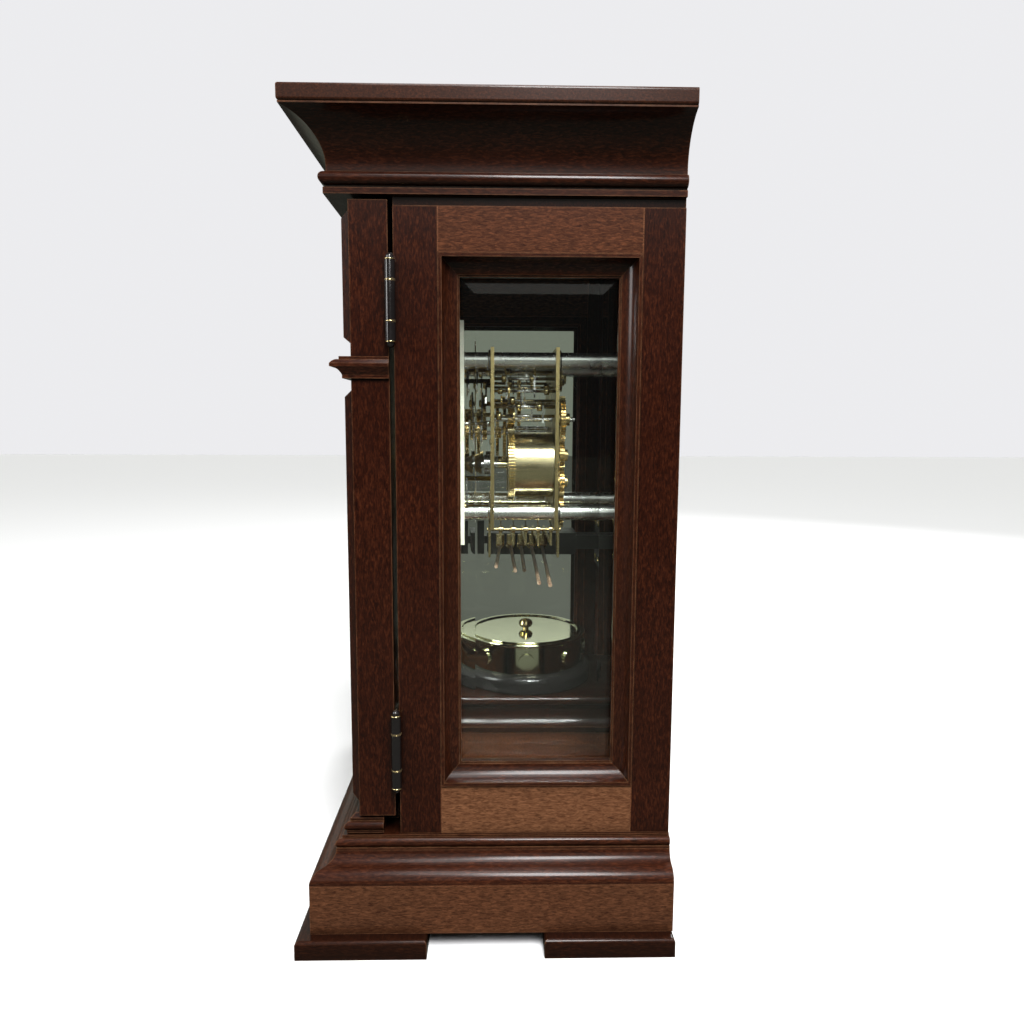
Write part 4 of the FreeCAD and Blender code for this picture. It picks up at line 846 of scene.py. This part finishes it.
def small_arbors(steel, brass):
    """Levers, locking arbors and flies of the striking work."""
    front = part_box("front_plate")[1].y / MM
    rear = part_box("rear_plate")[0].y / MM
    half_collar, half_vane, half_arm, eased = 1.6, 3.2, 0.45, 0.3
    for name, x, z, radius, carried in ARBORS:
        bars, wheels = bmesh.new(), bmesh.new()
        lathe(bars, Vector((x, front, z)) * MM, ALONG_Y,
              [(0, 0), (radius, 0), (radius, rear - front), (0, rear - front)], 20)
        for kind, share, size in carried:
            y = front + (rear - front) * share
            if kind == "collar":
                lathe(wheels, Vector((x, y, z)) * MM, ALONG_Y,
                      [(radius, -half_collar), (size - eased, -half_collar),
                       (size, eased - half_collar), (size, half_collar - eased),
                       (size - eased, half_collar), (radius, half_collar)], 28)
            elif kind == "wheel":
                small_wheel(wheels, x, z, y, size)
            elif kind == "vane":
                slab(wheels, [(x - size, z - 0.3), (x + size, z - 0.3), (x + size, z + 0.3),
                              (x - size, z + 0.3)], y - half_vane, y + half_vane)
            else:
                reach = Vector(size)
                side = Vector((-reach.y, reach.x)).normalized()
                outline = [-side * 1.7 - reach * 0.12, side * 1.7 - reach * 0.12,
                           reach * 0.8 + side * 0.7, reach + side * 1.5, reach - side * 0.7]
                slab(bars, [(x + point.x, z + point.y) for point in outline],
                     y - half_arm, y + half_arm)
        mesh_piece("arbor_" + name, bars, steel, "case")
        mesh_piece("wheels_" + name, wheels, brass, "case")


# Flat levers in front of the front plate: y level, then (x, z) corners.
LEVERS = (
    ("rack", -4.2, ((20, 306), (24, 308), (33, 296), (46, 279), (50, 281), (50, 285), (36, 300),
                    (26, 313), (20, 312))),
    ("rack_hook", -7.4,
     ((22, 329), (27, 330), (44, 316), (49, 317), (49, 314), (43, 312), (26, 325))),
    ("warning_lever", -10.6, ((18, 322), (22, 324), (38, 309), (49, 300), (48, 296), (36, 304))),
    ("lifting_lever", -1.4, ((24, 318), (29, 319), (50, 309), (51, 305), (28, 313))),
    ("silence_lever", -13.2,
     ((44, 250), (47.5, 250), (48.5, 284), (51, 322), (48, 323), (45, 285))),
    ("strike_lever", -5.8,
     ((-50, 330), (-46, 331), (-28, 318), (-24, 322), (-22, 318), (-30, 312))),
    ("chime_lever", -8.8, ((45, 236), (50, 236), (50, 257), (46, 257))),
)
DIAL_STUDS = ((47, 328), (28, 335), (49, 292), (19, 338))
PLATE_SCREWS = ((12, 335), (-14, 336), (32, 280), (-30, 243), (2, 229), (-50, 285))


def front_levers(steel, brass):
    """Levers and their studs between the dial and the front plate."""
    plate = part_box("front_plate")[1].y / MM - PLATE_THICK
    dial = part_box("dial_plate")[1].y / MM
    for name, level, outline in LEVERS:
        solids = bmesh.new()
        slab(solids, outline, level - 0.5, level + 0.5)
        mesh_piece(name, solids, steel, "case")
        solids = bmesh.new()
        near = [sum(corner[axis] for corner in outline[:2]) / 2 for axis in (0, 1)]
        inward = [sum(corner[axis] for corner in outline) / len(outline) for axis in (0, 1)]
        x, z = (near[0] * 0.82 + inward[0] * 0.18, near[1] * 0.82 + inward[1] * 0.18)
        out = plate - level
        lathe(solids, Vector((x, plate, z)) * MM, -ALONG_Y,
              [(0, SUNK), (1.5, SUNK), (1.5, out - 0.5), (2.6, out - 0.5), (2.6, out + 1.5),
               (2.0, out + 2.2), (0, out + 2.2)], 24)
        mesh_piece(name + "_stud", solids, brass, "case")
    long = plate - dial
    for number, (x, z) in enumerate(DIAL_STUDS):
        solids = bmesh.new()
        lathe(solids, Vector((x, plate, z)) * MM, -ALONG_Y,
              [(0, SUNK), (1.9, SUNK), (1.9, 3.4), (1.2, 3.6), (1.2, long - 1.0),
               (2.2, long - 0.8), (2.2, long), (0, long)], 24)
        mesh_piece("dial_stud_%d" % (number + 1), solids, steel, "case")


def plate_fittings(steel, brass):
    """Bushings round the pivots, pillar nuts, ratchets, clicks and their screws."""
    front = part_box("front_plate")[1].y - PLATE_THICK * MM
    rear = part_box("rear_plate")[0].y + PLATE_THICK * MM
    bushes, nuts, screws = bmesh.new(), bmesh.new(), bmesh.new()
    ratchet, click_thick = 9.0, 1.0
    spots = [(joint["pos_m"][0], joint["pos_m"][2]) for joint in frame["joints"]
             if joint["child"] in ("time_second_wheel", "third_wheel", "minute_arbor",
                                   "chime_drive_wheel", "chime_drum")]
    spots += [(x * MM, z * MM) for _, x, z, _, _ in ARBORS]
    for x, z in spots:
        for level, axis in ((front, -ALONG_Y), (rear, ALONG_Y)):
            lathe(bushes, Vector((x, level, z)), axis,
                  [(1.75, SUNK), (1.75, 0.15), (2.2, 0.35), (3.0, 0.35), (3.2, SUNK)], 28)
    low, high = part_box("mounting_pillars")
    pillar_half = 5.1 * MM
    for x in (low.x + pillar_half, high.x - pillar_half):
        for z in (low.z + pillar_half, high.z - pillar_half):
            for level, axis in ((front, -ALONG_Y), (rear, ALONG_Y)):
                lathe(nuts, Vector((x, level, z)), axis,
                      [(5.2, SUNK), (7.0, SUNK), (7.0, 1.2), (6.6, 1.6), (5.2, 1.6)], 6)
    for side in (-1, 1):
        x, z = side * WINDING.x, WINDING.z
        small_wheel(bushes, x / MM, z / MM, rear / MM + 0.8, ratchet)
        screw(screws, Vector((x + side * 11 * MM, rear, z + 6 * MM)), ALONG_Y, 1.8, 1.4)
        slab(bushes, [(x / MM + side * 9, z / MM + 8), (x / MM + side * 13.5, z / MM + 8.5),
                      (x / MM + side * 13, z / MM + 3), (x / MM + side * 9.4, z / MM + 2)],
             rear / MM, rear / MM + click_thick)
    for x, z in PLATE_SCREWS:
        for level, axis in ((front, -ALONG_Y), (rear, ALONG_Y)):
            screw(screws, Vector((x * MM, level, z * MM)), axis, 2.0, 1.0)
    mesh_piece("pivot_bushings", bushes, brass, "case")
    mesh_piece("pillar_nuts", nuts, steel, "case")
    mesh_piece("plate_screws", screws, steel, "case")


def springs(steel, blued):
    """Hairspring on the balance and the hammers' return springs."""
    balance = next(joint["pos_m"] for joint in frame["joints"] if joint["child"] == "balance_wheel")
    x, z = balance[0] / MM, balance[2] / MM
    turns, steps, inner, growth = 6, 150, 1.3, 4.6
    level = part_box("balance_wheel")[0].y / MM + 3.4
    coil = []
    for step in range(steps):
        share = step / (steps - 1)
        turn, radius = math.tau * turns * share, inner + growth * share
        coil.append((x + radius * math.cos(turn), level, z + radius * math.sin(turn)))
    wire("hairspring", coil, 0.09, blued, "balance_wheel")
    for number in HAMMERS:
        low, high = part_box("hammer_%d" % number)
        y = (low.y + high.y) / 2 / MM
        hub = high.x / MM - 2.4
        top = high.z / MM
        wire("hammer_spring_%d" % number,
             [(hub - 1, y, top - 0.2), (hub - 5, y, top + 2.5), (hub - 9, y, top + 2.8),
              (hub - 13, y, top + 0.6)], 0.3, steel, "hammer_%d" % number)


# ---------------------------------------------------------------- case fittings
def case_fittings(brass):
    """Screws in the back board and in the gong block's flange."""
    backs, blocks = bmesh.new(), bmesh.new()
    low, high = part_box("back_board")
    inset, head, flush = 9 * MM, 3.0, 0.01
    for x in (low.x + inset, 0.0, high.x - inset):
        for z in (low.z + inset, high.z - inset):
            screw(backs, Vector((x, high.y, z)), ALONG_Y, head, flush)
    for x in (low.x + inset, high.x - inset):
        for share in (0.33, 0.67):
            level = low.z + (high.z - low.z) * share
            screw(backs, Vector((x, high.y, level)), ALONG_Y, head, flush)
    mesh_piece("back_screws", backs, brass, "case")
    low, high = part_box("chime_block")
    flange, edge = 4 * MM, 6 * MM
    for x in (high.x - 9 * MM, high.x - 25 * MM):
        for z in (low.z + edge, high.z - edge):
            screw(blocks, Vector((x, high.y - flange, z)), -ALONG_Y, 2.6, 1.2)
    mesh_piece("gong_screws", blocks, brass, "case")


def dial_return(cream):
    """The dial's turned-back edge, painted cream, behind its four sides."""
    low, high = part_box("dial_plate")
    left, right, foot, head = (value / MM for value in (low.x, high.x, low.z, high.z))
    inset, thick, deep, back = 0.1, 1.1, 5.5, high.y / MM
    solids = bmesh.new()
    for a, b, c, d in ((left + inset, left + thick, foot + inset, head - inset),
                       (right - thick, right - inset, foot + inset, head - inset),
                       (left + thick, right - thick, foot + inset, foot + thick),
                       (left + thick, right - thick, head - thick, head - inset)):
        slab(solids, [(a, c), (b, c), (b, d), (a, d)], back - 0.05, back + deep)
    mesh_piece("dial_return", solids, cream, "case")


def joint_lines(pale_tan):
    """Pale hairlines at each side rail's ends, the window's moulding and the plinth's top: partly
    worn edges, partly a painted highlight.
    """
    stiles, beads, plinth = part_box("side_stiles"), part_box("window_beads"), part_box("plinth")
    solids = bmesh.new()
    thin, proud = 0.3 * MM, 0.03 * MM
    for side in (-1, 1):
        face = side * stiles[1].x
        for y in (beads[0].y, beads[1].y):
            for low, high in ((stiles[0].z + 3 * MM, beads[0].z), (beads[1].z, stiles[1].z)):
                hairline(solids, side, face, (y - thin, y + thin), (low, high), proud)
        for z in (beads[0].z - thin * 2, beads[1].z):
            hairline(solids, side, face, (beads[0].y, beads[1].y), (z, z + thin * 2), proud)
        hairline(solids, side, side * plinth[1].x, (plinth[0].y, plinth[1].y),
                 (plinth[1].z - thin * 2, plinth[1].z), proud)
    mesh_piece("joint_lines", solids, pale_tan, "case")


def hairline(solids, side, face, wide, tall, proud):
    """One thin raised line on a side face, given by its y and z ends in metres."""
    corners = [Vector((face - side * proud, y, z)) for y in wide for z in tall]
    corners += [Vector((face + side * proud, y, z)) for y in wide for z in tall]
    bmesh.ops.convex_hull(solids, input=[solids.verts.new(corner) for corner in corners])


def hinge_rings(brass):
    """Brass washers between the knuckles and brass tips on the pins."""
    leaves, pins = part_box("door_hinge_leaves"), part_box("hinge_pins")
    solids = bmesh.new()
    radius, tall, half, bore = 2.8, 42.0, 0.35, 1.0  # the knuckle, the hinge, a washer
    x, y = pins[1].x / MM - radius, (pins[0].y + pins[1].y) / 2 / MM
    for low in (leaves[0].z / MM, leaves[1].z / MM - tall):
        for share in (0.0, 0.25, 0.75, 1.0):
            lathe(solids, Vector((x, y, low + tall * share)) * MM, UP,
                  [(bore, -half), (radius - 0.1, -half), (radius + 0.12, 0),
                   (radius - 0.1, half), (bore, half)], 32)
    mesh_piece("hinge_rings", solids, brass, "case")


def rod_ferrules(brass):
    """A brass ferrule where each chime rod is driven into its block."""
    solids = bmesh.new()
    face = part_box("chime_block")[1].x
    level = (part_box("chime_rods")[0].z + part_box("chime_rods")[1].z) / 2
    for number in HAMMERS:
        low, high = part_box("hammer_%d" % number)
        place = Vector((face, (low.y + high.y) / 2, level))
        lathe(solids, place, Vector((1, 0, 0)),
              [(3.4, SUNK), (3.4, 1.0), (2.6, 1.6), (2.3, 1.6)], 24)
    mesh_piece("rod_ferrules", solids, brass, "case")


def hammer_pads(leather):
    """A leather pad under each hammer head."""
    for number in HAMMERS:
        low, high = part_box("hammer_%d" % number)
        x = low.x + 3.3 * MM
        solids = bmesh.new()
        lathe(solids, Vector((x, (low.y + high.y) / 2, low.z)), -UP,
              [(0, SUNK), (2.8, SUNK), (2.8, 0.5), (2.3, 1.0), (0, 1.1)], 24)
        mesh_piece("hammer_pad_%d" % number, solids, leather, "hammer_%d" % number)


def light_the_movement():
    """A small lamp linked to the metal, lacquered and painted pieces, so that it puts no glare
    on the wood, the glass or the floor."""
    lamp = area_light(*LINKED_LAMP)
    lit = bpy.data.collections.new("polished_pieces")
    for piece in bpy.context.scene.objects:
        if piece.type != "MESH" or not piece.data.materials:
            continue
        finish = piece.data.materials[0].name
        if not finish.startswith(UNLIT_BY_IT):
            lit.objects.link(piece)
    lamp.light_linking.receiver_collection = lit


def add_details():
    """Everything small that the frame leaves out."""
    steel = metal("lever_steel", (0.80, 0.79, 0.76), 0.18, 0.3, "Y", 0.35, 0.5)
    bright = metal("small_brass", (0.74, 0.60, 0.31), 0.20, 0.2, "Y", 0.4, 0.5)
    ink = lacquer("dial_ink", (0.012, 0.011, 0.011), 0.4)
    blued = metal("blued_steel", (0.10, 0.13, 0.30), 0.22, 0.0, "Y", 0.2)
    leather = lacquer("pad_leather", (0.20, 0.11, 0.05), 0.8)
    dial_details(ink, bright)
    small_arbors(steel, bright)
    front_levers(steel, bright)
    plate_fittings(steel, bright)
    springs(steel, blued)
    case_fittings(bright)
    dial_return(lacquer("cream_paint", (0.78, 0.74, 0.60), 0.3, 0.3))
    # Pale wood for the hairlines: partly wear, partly a painted highlight.
    joint_lines(wood("bare_edge", "Y", None, None, 0.2, 1.6, 0.42))
    hinge_rings(bright)
    rod_ferrules(bright)
    hammer_pads(leather)


make_camera()
make_stage()
finish_wood()
finish_metal()
add_details()
light_the_movement()
